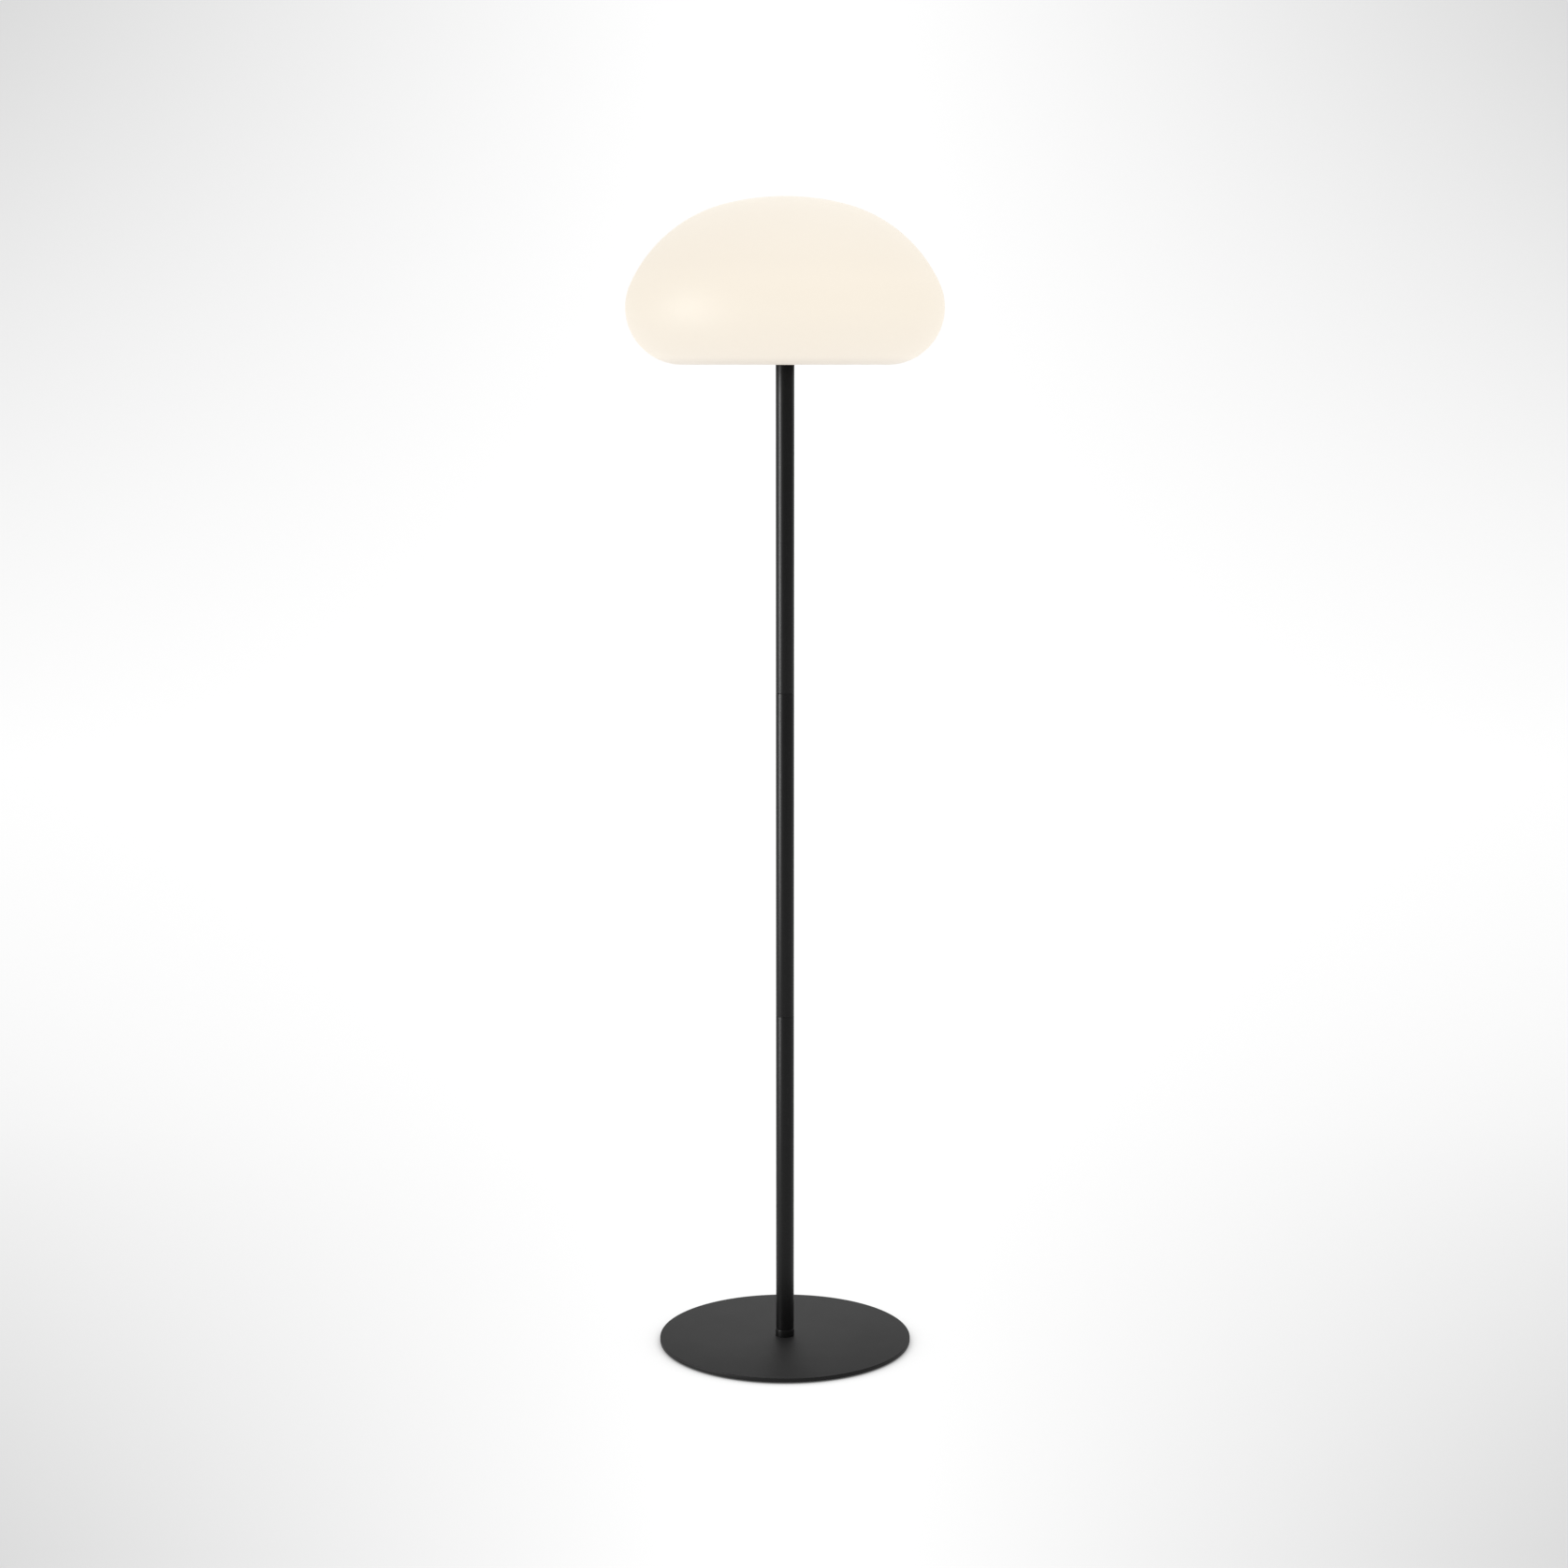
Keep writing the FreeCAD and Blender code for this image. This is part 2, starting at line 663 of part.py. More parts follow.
# ---------------------------------------------------------------- housing
def make_module_housing():
    """The sealed tray under the lamp's light: flange, floor, wall, bosses and posts."""
    body = piece("module_housing", up=head_level)
    turn(body, [
        (size.tube_radius + size.gap, 0),
        (flange_radius, 0),
        (flange_radius, size.flange_thick),
        (housing_radius, size.flange_thick),
        (housing_radius, size.housing_tall),
        (wall_inside, size.housing_tall),
        (wall_inside, size.flange_thick),
        (size.tube_radius + size.gap, size.flange_thick),
    ])
    rise = size.housing_tall - size.flange_thick
    boss = pad(body, circle(sketch_on(body, "XY_Plane", size.flange_thick), boss_ring, 0,
                            size.boss_radius), rise)
    round_ring(body, [boss], COVER_SCREW_COUNT)
    thread = circle(sketch_on(body, "XY_Plane", size.flange_thick), boss_ring, 0, screw_thread)
    round_ring(body, [pocket(body, thread, rise)], COVER_SCREW_COUNT)

    post_rise = size.board_level - size.flange_thick
    post = pad(body, circle(sketch_on(body, "XY_Plane", size.flange_thick), post_across,
                            post_along, size.post_radius), post_rise)
    four_ways(body, [post])
    pilot = pocket(body, circle(sketch_on(body, "XY_Plane", size.flange_thick), post_across,
                                post_along, size.tiny_screw + size.fit), post_rise)
    four_ways(body, [pilot])

    for ring, count in ((clamp_screw_ring, CLAMP_SCREW_COUNT), (size.socket_screw_ring, SOCKET_SCREW_COUNT)):
        hole = circle(sketch_on(body, "XY_Plane"), ring, 0, screw_hole)
        round_ring(body, [pocket(body, hole, size.flange_thick)], count)
    dress(body, size.small_head - size.small_screw, [(screw_hole, 0)])

    shaft = circle(sketch_on(body, "XY_Plane"), 0, -button_offset, size.button_radius + size.gap)
    pocket(body, shaft, size.flange_thick)
    seat = size.button_radius + size.gap + size.ring_width + size.fit
    pocket(body, circle(sketch_on(body, "XY_Plane"), 0, -button_offset, seat), size.ring_thick)
    pipe = circle(sketch_on(body, "XY_Plane"), 0, pipe_along, size.pipe_radius + size.gap)
    pocket(body, pipe, size.flange_thick)
    window = rectangle(sketch_on(body, "XY_Plane"), (frame_low - size.fit, port_offset - frame_half - size.fit),
                       (frame_high + size.fit, port_offset + frame_half + size.fit))
    pocket(body, window, size.flange_thick)


def make_pole_socket():
    """The turned metal socket that takes the pole's tube and its top stud."""
    body = piece("pole_socket", up=head_level)
    cup = size.tube_radius + size.gap
    flange_top = size.flange_thick + size.socket_flange_thick
    bore_top = size.socket_depth + size.stud_long + size.gap * 2
    turn(body, [
        (cup, size.flange_thick),
        (size.socket_flange_radius, size.flange_thick),
        (size.socket_flange_radius, flange_top),
        (size.socket_hub_radius, flange_top),
        (size.socket_hub_radius, size.socket_hub_tall),
        (0, size.socket_hub_tall),
        (0, bore_top),
        (size.thread_radius, bore_top),
        (size.thread_radius, size.socket_depth),
        (cup, size.socket_depth),
    ])
    holes = circle(sketch_on(body, "XY_Plane", size.flange_thick), size.socket_screw_ring, 0, screw_thread)
    round_ring(body, [pocket(body, holes, size.socket_flange_thick)], SOCKET_SCREW_COUNT)


# ---------------------------------------------------------------- light source
def make_light_source():
    seal = piece("module_seal", up=head_level + size.housing_tall)
    turn(seal, [
        (wall_inside, 0),
        (lid_radius, 0),
        (lid_radius, size.seal_thick),
        (wall_inside, size.seal_thick),
    ])

    spreader = piece("heat_spreader", up=head_level + seal_top)
    pad(spreader, circle(sketch_on(spreader, "XY_Plane"), 0, 0, lid_radius), size.spreader_thick)
    pocket(spreader, circle(sketch_on(spreader, "XY_Plane"), 0, plug_along, lead_hole), size.spreader_thick)
    holes = circle(sketch_on(spreader, "XY_Plane"), boss_ring, 0, screw_hole)
    round_ring(spreader, [pocket(spreader, holes, size.spreader_thick)], COVER_SCREW_COUNT)

    board = piece("led_board", up=head_level + spreader_top)
    pad(board, circle(sketch_on(board, "XY_Plane"), 0, 0, led_board_radius), size.circuit_thick)
    pocket(board, circle(sketch_on(board, "XY_Plane"), 0, plug_along, lead_hole), size.circuit_thick)

    block = piece("led_terminal", along=plug_along, up=head_level + spreader_top + size.circuit_thick)
    reach = lead_hole + size.gap
    pad(block, rectangle(sketch_on(block, "XY_Plane"), (-reach, -reach), (reach, reach)), size.terminal_tall)

    chips = piece("led_chips", up=head_level + spreader_top + size.circuit_thick)
    half = size.chip_side / 2
    for ring, count in ((led_board_radius - size.outer_chip_inset, OUTER_CHIP_COUNT), (size.inner_chip_ring, INNER_CHIP_COUNT)):
        square = rectangle(sketch_on(chips, "XY_Plane"), (ring - half, -half), (ring + half, half))
        round_ring(chips, [pad(chips, square, size.chip_tall)], count)


def make_diffuser():
    """A frosted lid with a sloping shoulder and a wall of even thickness."""
    body = piece("diffuser", up=head_level + spreader_top)
    outer = diffuser_radius
    inner = outer - size.diffuser_wall
    bend = size.diffuser_wall * (1 / cosine(Size(22.5)) - 1)
    shoulder = size.diffuser_tall - size.diffuser_slope
    turn(body, [
        (inner, 0),
        (lid_radius, 0),
        (lid_radius, size.diffuser_flange),
        (outer, size.diffuser_flange),
        (outer, shoulder),
        (outer - size.diffuser_slope, size.diffuser_tall),
        (0, size.diffuser_tall),
        (0, size.diffuser_tall - size.diffuser_wall),
        (inner - size.diffuser_slope + bend, size.diffuser_tall - size.diffuser_wall),
        (inner, shoulder - bend),
    ])
    holes = circle(sketch_on(body, "XY_Plane"), boss_ring, 0, screw_hole)
    round_ring(body, [pocket(body, holes, size.diffuser_flange)], COVER_SCREW_COUNT)
    dress(body, size.small_head - size.small_screw, [(screw_hole, size.diffuser_flange)])


# ---------------------------------------------------------------- batteries
def make_batteries():
    axis_up = size.flange_thick + size.cradle_floor + size.cell_radius + size.fit

    cells = piece("battery_cells", up=head_level)
    shaft = pad(cells, circle(sketch_on(cells, "XZ_Plane", -cell_half), cell_offset, axis_up, size.cell_radius),
                size.cell_long)
    mirror_left_right(cells, [shaft])

    cradles = piece("battery_cradles", up=head_level)
    groove = size.cell_radius + size.fit
    top = size.flange_thick + size.cradle_tall
    mouth = root(groove * groove - (axis_up - top) * (axis_up - top))
    low = cell_offset - size.cradle_width / 2
    high = cell_offset + size.cradle_width / 2
    trough = outline(sketch_on(cradles, "XZ_Plane", -size.cradle_long / 2), [
        (low, size.flange_thick),
        (high, size.flange_thick),
        (high, top),
        (cell_offset + mouth, top),
        (cell_offset - mouth, top),
        (low, top),
    ], {3: Bend(cell_offset, axis_up, groove)})
    mirror_left_right(cradles, [pad(cradles, trough, size.cradle_long)])

    # a flat strip from each end of a cell, hooked over the edge of the driver board
    strips = piece("battery_strips", up=head_level)
    edge = board_side
    crest = board_top + size.strip_hook
    profile = outline(sketch_on(strips, "XZ_Plane", cell_half), [
        (edge + size.gap, axis_up - size.strip_hook),
        (cell_offset + size.strip_hook, axis_up - size.strip_hook),
        (cell_offset + size.strip_hook, crest),
        (edge - size.strip_hook, crest),
        (edge - size.strip_hook, board_top),
        (edge + size.gap, board_top),
    ])
    four_ways(strips, [pad(strips, profile, size.strip_thick)])


def mirror_left_right(body, features):
    mirror = body.newObject("PartDesign::Mirrored", f"{body.Label}_mirror")
    mirror.Originals = features
    plane = next(f for f in body.Origin.OriginFeatures if f.Role == "YZ_Plane")
    mirror.MirrorPlane = (plane, [""])
    body.Tip = mirror
    return mirror


# ---------------------------------------------------------------- driver board
def make_driver_board():
    body = piece("driver_board", up=head_level + size.board_level)
    corner = root(board_reach * board_reach - board_side * board_side)
    round_end = Bend(ZERO, ZERO, board_reach)
    slab = outline(sketch_on(body, "XY_Plane"), [
        (-board_side, -corner),
        (board_side, -corner),
        (board_side, corner),
        (-board_side, corner),
    ], {0: round_end, 2: round_end})
    pad(body, slab, size.circuit_thick)
    around_hub = circle(sketch_on(body, "XY_Plane"), 0, 0, size.socket_hub_radius + size.edge_break)
    pocket(body, around_hub, size.circuit_thick)
    hole = circle(sketch_on(body, "XY_Plane"), post_across, post_along, size.tiny_screw + size.gap)
    four_ways(body, [pocket(body, hole, size.circuit_thick)])

    screws = piece("board_screws", up=head_level + board_top)
    shank = circle(sketch_on(screws, "XY_Plane", -size.tiny_screw_long), post_across, post_along,
                   size.tiny_screw)
    head = circle(sketch_on(screws, "XY_Plane"), post_across, post_along, size.tiny_head)
    four_ways(screws, [pad(screws, shank, size.tiny_screw_long), pad(screws, head, size.tiny_head_tall)])


def make_board_parts():
    """Inductor, two capacitors, wire connector and indicator light on the driver board."""
    body = piece("board_parts", up=head_level)
    half = size.coil_side / 2
    middle = -(size.socket_hub_radius + size.coil_side)
    coil = rectangle(sketch_on(body, "XY_Plane", board_top), (-half, middle - half), (half, middle + half))
    pad(body, coil, size.coil_tall)
    half = size.plug_side / 2
    plug = rectangle(sketch_on(body, "XY_Plane", board_top), (-half, plug_along - half), (half, plug_along + half))
    pad(body, plug, size.plug_tall)
    light = rectangle(sketch_on(body, "XY_Plane", light_low), (-size.pipe_radius, pipe_along - size.pipe_radius),
                      (size.pipe_radius, pipe_along + size.pipe_radius))
    pad(body, light, size.chip_tall)
    can = circle(sketch_on(body, "XY_Plane", board_top), board_side / 2, port_offset, size.can_radius)
    mirror_left_right(body, [pad(body, can, size.can_tall)])


# ---------------------------------------------------------------- wires
def make_led_leads():
    """Two wires from the driver board's connector straight up into the terminal block."""
    low = board_top + size.plug_tall
    body = piece("led_leads", along=plug_along, up=head_level + low)
    lead = pad(body, circle(sketch_on(body, "XY_Plane"), wire_spread, 0, size.wire_radius),
               spreader_top + size.circuit_thick - low)
    mirror_left_right(body, [lead])


# ---------------------------------------------------------------- push button
def make_button():
    button = piece("push_button", along=-button_offset, up=head_level)
    skirt = size.button_radius + size.button_skirt
    skirt_top = size.flange_thick + size.skirt_thick
    turn(button, [
        (0, size.button_inset),
        (size.button_radius - size.button_bevel, size.button_inset),
        (size.button_radius, size.button_inset + size.button_bevel),
        (size.button_radius, size.flange_thick),
        (skirt, size.flange_thick),
        (skirt, skirt_top),
        (size.hub_radius, skirt_top),
        (size.hub_radius, size.hub_top),
        (0, size.hub_top),
    ])

    plunger = piece("switch_plunger", along=-button_offset, up=head_level + size.hub_top)
    pad(plunger, circle(sketch_on(plunger, "XY_Plane"), 0, 0, size.plunger_radius), size.plunger_long)

    switch = piece("tact_switch", along=-button_offset, up=head_level + size.board_level - size.switch_tall)
    half = size.switch_side / 2
    pad(switch, rectangle(sketch_on(switch, "XY_Plane"), (-half, -half), (half, half)), size.switch_tall)
    bore = circle(sketch_on(switch, "XY_Plane"), 0, 0, size.plunger_radius + size.fit)
    pocket(switch, bore, size.plunger_bore_deep)

    ring = piece("indicator_ring", along=-button_offset, up=head_level)
    inner = size.button_radius + size.gap
    outer = inner + size.ring_width
    turn(ring, [(inner, 0), (outer, 0), (outer, size.ring_thick), (inner, size.ring_thick)])
    pipe = circle(sketch_on(ring, "XY_Plane", size.ring_thick), 0, pipe_along + button_offset,
                  size.pipe_radius)
    pad(ring, pipe, light_low - size.gap - size.ring_thick)


# ---------------------------------------------------------------- charging port
def stadium(sketch, long, width):
    """A slot outline: two straight sides joined by round ends."""
    end = width / 2
    reach = long / 2 - end
    right = Bend(reach, ZERO, end)
    left = Bend(-reach, ZERO, end)
    corners = [(-reach, -end), (reach, -end), (long / 2, 0), (reach, end), (-reach, end), (-long / 2, 0)]
    return outline(sketch, corners, {1: right, 2: right, 4: left, 5: left})


def make_port_frame():
    body = piece("port_frame", along=port_offset, up=head_level)
    base_tall = size.flange_thick + size.frame_flange
    wall = size.frame_wall
    rim = size.frame_flange
    well = (size.well_long / 2, size.well_width / 2)
    pad(body, rectangle(sketch_on(body, "XY_Plane"), (frame_low, -frame_half), (frame_high, frame_half)), base_tall)
    pad(body, rectangle(sketch_on(body, "XY_Plane", size.flange_thick), (frame_low - rim, -frame_half - rim),
                        (frame_high + rim, frame_half + rim)), rim)
    pad(body, rectangle(sketch_on(body, "XY_Plane"), (-well[0] - wall, -well[1] - wall),
                        (well[0] + wall, well[1] + wall)), size.well_deep + size.well_roof)
    recess_deep = size.cover_thick + size.gap
    half = size.cover_width / 2 + size.gap
    pocket(body, rectangle(sketch_on(body, "XY_Plane"), (frame_low + wall, -half), (frame_high - wall, half)),
           recess_deep)
    pocket(body, rectangle(sketch_on(body, "XY_Plane"), (-well[0], -well[1]), well), size.well_deep)
    slot = stadium(sketch_on(body, "XY_Plane"), size.shell_long + size.fit * 2, size.shell_width + size.fit * 2)
    pocket(body, slot, size.well_deep + size.well_roof)
    pocket(body, circle(sketch_on(body, "XY_Plane"), anchor_middle, 0, size.anchor_pin + size.fit), base_tall)
    notch = circle(sketch_on(body, "XY_Plane"), frame_high - wall, 0, wall - size.gap)
    pocket(body, notch, size.cover_thick)


def make_charge_socket():
    long = size.board_level - size.well_deep
    shell = piece("charge_socket", along=port_offset, up=head_level + size.well_deep)
    pad(shell, stadium(sketch_on(shell, "XY_Plane"), size.shell_long, size.shell_width), long)
    hollow = stadium(sketch_on(shell, "XY_Plane"), size.shell_long - size.shell_wall * 2,
                     size.shell_width - size.shell_wall * 2)
    pocket(shell, hollow, long - size.shell_wall)

    tongue = piece("charge_contacts", along=port_offset, up=head_level + size.well_deep + size.tongue_width)
    half = (size.tongue_long / 2, size.tongue_width / 2)
    strip = rectangle(sketch_on(tongue, "XY_Plane"), (-half[0], -half[1]), half)
    pad(tongue, strip, long - size.shell_wall - size.tongue_width)


def make_port_cover():
    """The rubber cover: a flap on a rolled hinge edge, and the fixed end beside it."""
    cover = piece("port_cover", along=port_offset, up=head_level)
    half = size.cover_width / 2
    middle = size.cover_thick / 2
    roll = Bend(hinge_across, middle, middle)
    side = outline(sketch_on(cover, "XZ_Plane", -half), [
        (hinge_across, 0),
        (size.cover_long / 2, 0),
        (size.cover_long / 2, size.cover_thick),
        (hinge_across, size.cover_thick),
        (hinge_across - middle, middle),
    ], {3: roll, 4: roll})
    pad(cover, side, size.cover_width)
    plug = (size.well_long / 2 - size.gap, size.well_width / 2 - size.gap)
    pad(cover, rectangle(sketch_on(cover, "XY_Plane", size.cover_thick), (-plug[0], -plug[1]), plug),
        size.cover_plug_tall)

    anchor = piece("port_cover_anchor", along=port_offset, up=head_level)
    pad(anchor, rectangle(sketch_on(anchor, "XY_Plane"), (anchor_high - size.anchor_long, -half),
                          (anchor_high, half)), size.cover_thick)
    peg = circle(sketch_on(anchor, "XY_Plane", size.cover_thick), anchor_middle, 0, size.anchor_pin)
    pad(anchor, peg, size.flange_thick + size.frame_flange - size.cover_thick)


# ---------------------------------------------------------------- the whole lamp
make_foot_pads()
make_base_plate()
make_base_bolt()
make_foot_collar()
for section, name in enumerate(("lower", "middle", "upper")):
    make_pole_section(name, section)
make_shade()
make_shade_gasket()
make_clamp_ring()
make_module_housing()
make_pole_socket()
countersunk_screws("clamp_screws", head_level, clamp_screw_ring, ledge_top + size.clamp_thick - size.fit,
                   CLAMP_SCREW_COUNT)
countersunk_screws("socket_screws", head_level, size.socket_screw_ring,
                   size.flange_thick + size.socket_flange_thick - size.fit, SOCKET_SCREW_COUNT)
countersunk_screws("cover_screws", head_level + spreader_top + size.diffuser_flange, boss_ring,
                   size.cover_screw_long, COVER_SCREW_COUNT, head_down=False)
make_light_source()
make_diffuser()
make_batteries()
make_driver_board()
make_board_parts()
make_led_leads()
make_button()
make_port_frame()
make_charge_socket()
make_port_cover()
doc.recompute()

# ---------------------------------------------------------------- check and write
for item in doc.Objects:
    if "Invalid" in item.State or "Error" in item.State:
        raise RuntimeError(f"{item.Label} failed: {item.State}")

bodies = [item for item in doc.Objects if item.TypeId == "PartDesign::Body"]
for body in bodies:
    if body.Shape.isNull() or not body.Shape.isValid() or not body.Shape.Solids:
        raise RuntimeError(f"{body.Label} has no valid solid")

os.makedirs("parts", exist_ok=True)
for body in bodies:
    body.Shape.exportStep(f"parts/{body.Label}.step")
    box = body.Shape.BoundBox
    print(f"{body.Label:20s} solids {len(body.Shape.Solids):2d}  volume {body.Shape.Volume:11.1f}"
          f"  z {box.ZMin:8.2f} to {box.ZMax:8.2f}")
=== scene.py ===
"""Looks for a cordless floor lamp: opal dome shade, slim black pole, flat round base."""
import json
import math

import bmesh
import bpy
from mathutils import Matrix


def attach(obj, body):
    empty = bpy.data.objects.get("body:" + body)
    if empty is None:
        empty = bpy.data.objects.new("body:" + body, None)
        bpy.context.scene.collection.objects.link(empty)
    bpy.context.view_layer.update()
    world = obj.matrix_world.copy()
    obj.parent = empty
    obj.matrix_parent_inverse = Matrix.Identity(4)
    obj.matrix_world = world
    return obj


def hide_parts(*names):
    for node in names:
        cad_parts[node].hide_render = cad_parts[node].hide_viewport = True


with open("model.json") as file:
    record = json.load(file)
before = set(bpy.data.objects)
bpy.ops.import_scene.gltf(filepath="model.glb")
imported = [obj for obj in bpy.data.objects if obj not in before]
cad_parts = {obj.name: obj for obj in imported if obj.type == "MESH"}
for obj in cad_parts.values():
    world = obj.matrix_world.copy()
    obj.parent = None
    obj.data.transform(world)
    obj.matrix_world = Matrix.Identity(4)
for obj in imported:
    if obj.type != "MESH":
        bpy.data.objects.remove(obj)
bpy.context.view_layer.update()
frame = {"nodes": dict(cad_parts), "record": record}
scene = bpy.context.scene

MM = 0.001

# Heights and radii of the lamp, in millimetres, as its drawings have them.
PLATE_LOW, PLATE_TOP, PLATE_RADIUS = 2.0, 6.0, 140.0
PAD_RING, PAD_COUNT = 122.0, 6
POLE_FOOT, POLE_RADIUS, TUBE_BORE, TUBE_LONG = 14.0, 10.0, 8.5, 358.5
HEAD = 1083.5
SHADE_RADIUS, SHADE_TALL, SHADE_WALL, MOUTH_RADIUS = 170.0, 176.5, 2.6, 68.3
BUTTON_ALONG = PORT_ALONG = 31.144


# ------------------------------------------------------------------ node trees
class Wire:
    """What a node gives out. Sums written on it add Math nodes to its tree."""

    def __init__(self, net, socket):
        self.net = net
        self.socket = socket

    def out(self, name):
        """Another output of the same node."""
        return Wire(self.net, self.socket.node.outputs[name])

    def sum(self, operation, *values):
        return self.net.add("ShaderNodeMath", {"operation": operation}, dict(enumerate(values)))

    def __add__(self, other):
        return self.sum("ADD", self, other)

    def __sub__(self, other):
        return self.sum("SUBTRACT", self, other)

    def __rsub__(self, other):
        return self.sum("SUBTRACT", other, self)

    def __mul__(self, other):
        return self.sum("MULTIPLY", self, other)

    def __truediv__(self, other):
        return self.sum("DIVIDE", self, other)

    def __mod__(self, other):
        return self.sum("FLOORED_MODULO", self, other)

    def __floordiv__(self, other):
        return self.sum("FLOOR", self / other)

    def __gt__(self, other):
        return self.sum("GREATER_THAN", self, other)

    __radd__ = __add__
    __rmul__ = __mul__

    def sine(self):
        return self.sum("SINE", self)

    def cosine(self):
        return self.sum("COSINE", self)

    def length_with(self, other):
        return self.sum("SQRT", self * self + other * other)

    def between(self, low, high):
        """0 at low, 1 at high, smooth between and level outside."""
        settings = {"interpolation_type": "SMOOTHSTEP"}
        return self.net.add("ShaderNodeMapRange", settings, {"Value": self, "From Min": low, "From Max": high})


class Net:
    """A node tree and the one way to put a node in it."""

    def __init__(self, tree):
        self.tree = tree

    def add(self, kind, settings=None, values=None, give=0):
        node = self.tree.nodes.new(kind)
        for name, value in (settings or {}).items():
            if name == "stops":
                ramp = node.color_ramp.elements
                while len(ramp) < len(value):
                    ramp.new(1.0)
                for stop, (place, colour) in zip(ramp, value):
                    stop.position = place
                    stop.color = (*colour, 1.0)
            else:
                setattr(node, name, value)
        for name, value in (values or {}).items():
            if isinstance(value, Wire):
                self.tree.links.new(value.socket, node.inputs[name])
            else:
                node.inputs[name].default_value = value
        return Wire(self, node.outputs[give]) if node.outputs else node

    def mix(self, share, first, second):
        """Two colours mixed by a share."""
        values = {"Factor": share, "A": first, "B": second}
        return self.add("ShaderNodeMix", {"data_type": "RGBA"}, values, give="Result")


def srgb(red, green, blue):
    """A colour read off in 0 to 255 steps, as light."""
    steps = [part / 255 for part in (red, green, blue)]
    return tuple(part / 12.92 if part <= 0.04045 else ((part + 0.055) / 1.055) ** 2.4 for part in steps)


def grey(step):
    return srgb(step, step, step)


def solid(colour):
    return (*colour, 1.0)


# ------------------------------------------------------------------ finishes
class Finish:
    """A material: steady values sit on the shader itself, patterns are linked to it."""

    def __init__(self, name, **steady):
        self.material = bpy.data.materials.new(name)
        self.material.use_nodes = True
        tree = self.material.node_tree
        tree.nodes.clear()
        self.net = Net(tree)
        steady = {key.replace("_", " "): value for key, value in steady.items()}
        self.shader = self.net.add("ShaderNodeBsdfPrincipled", None, steady)
        self.net.add("ShaderNodeOutputMaterial", None, {"Surface": self.shader})
        self.place = self.net.add("ShaderNodeTexCoord", give="Object")
        parts = self.net.add("ShaderNodeSeparateXYZ", None, {0: self.place})
        self.across, self.along, self.up = parts.out("X"), parts.out("Y"), parts.out("Z")
        self.from_axis = self.across.length_with(self.along)

    def noise(self, size_mm, detail=2.0, stretch=None):
        """Cloudy noise whose patches are about size_mm wide."""
        place = self.place
        if stretch:
            place = self.net.add("ShaderNodeMapping", None, {"Vector": place, "Scale": stretch})
        values = {"Vector": place, "Scale": 1 / (size_mm * MM), "Detail": detail}
        return self.net.add("ShaderNodeTexNoise", None, values)

    def cells(self, size_mm, feature="F1"):
        values = {"Vector": self.place, "Scale": 1 / (size_mm * MM)}
        return self.net.add("ShaderNodeTexVoronoi", {"feature": feature}, values)

    def ramp(self, share, *stops):
        return self.net.add("ShaderNodeValToRGB", {"stops": stops}, {"Fac": share})

    def link(self, **patterns):
        for key, wire in patterns.items():
            self.net.tree.links.new(wire.socket, self.shader.socket.node.inputs[key.replace("_", " ")])

    def bump(self, height, strength, rise_mm):
        """Relief from a height pattern, rise_mm from valley to crest."""
        values = {"Height": height, "Strength": strength, "Distance": rise_mm * MM}
        self.link(Normal=self.net.add("ShaderNodeBump", None, values))


def opal_plastic():
    """Milky moulded shade that glows from within, with painted shade and light by height: colour a little darker at
    the bottom and paler at the crown, glow brightest low down and dimmer at the crown, and a painted dark band under
    its rim.
    """
    finish = Finish("opal_plastic", Emission_Strength=0.51, IOR=1.46, Specular_IOR_Level=0.2)
    height = (finish.up - HEAD * MM) / (SHADE_TALL * MM)
    cloud = finish.noise(85, 1.5)
    # Painted shade and light: the base colour runs a little darker at the bottom and paler towards the crown.
    tone = finish.ramp(height + cloud * 0.05 - 0.025,
                       (0.0, srgb(244, 236, 225)), (0.12, srgb(246, 238, 225)),
                       (0.4, srgb(247, 238, 223)), (0.75, srgb(247, 239, 226)), (1.0, srgb(248, 241, 229)))
    # Painted shade in the glow: a dark band at the very rim, brightest just above it, and dimmer towards the crown
    # to even out the lamps.
    glow_ramp_with_painted_shade = finish.ramp(height, (0.0, srgb(220, 212, 201)), (0.045, srgb(254, 244, 229)), (0.3, srgb(252, 242, 226)),
                        (0.6, srgb(235, 225, 210)), (1.0, srgb(224, 216, 203)))
    glow = finish.net.mix(cloud * 0.12, glow_ramp_with_painted_shade, tone)
    skin = finish.net.mix(0.12, tone, solid(grey(160)))
    finish.link(Base_Color=skin, Emission_Color=glow, Roughness=0.5 + finish.noise(14) * 0.08)
    finish.bump(finish.noise(0.9, 3.0), 0.12, 0.05)
    return finish


def powder_coat(name, rough, gloss, sheen_and_mottle=0.0):
    """Fine powder coat on steel: soft orange peel, a sparse paler fleck, and a painted sheen that makes it paler
    towards the lamp's axis, with soft pale mottling.
    """
    finish = Finish(name, IOR=1.5, Specular_IOR_Level=gloss)
    peel = finish.noise(0.8, 3.0)
    fleck = finish.cells(0.55).between(0.16, 0.06)
    body = finish.ramp(peel, (0.3, grey(18)), (0.7, grey(25)))
    cloud = finish.noise(60)
    # Painted sheen: the coat is painted paler towards the lamp's axis, with soft pale mottling over it.
    painted_centre_sheen = finish.from_axis.between(0.135, 0.02) * sheen_and_mottle
    mottle_and_painted_sheen = finish.net.mix(painted_centre_sheen + cloud * sheen_and_mottle * 0.15, body, solid(grey(62)))
    finish.link(Base_Color=finish.net.mix(fleck * 0.35, mottle_and_painted_sheen, solid(grey(50))),
                Roughness=rough + peel * 0.06 + cloud * 0.06)
    finish.bump(peel, 0.3, 0.03)
    return finish


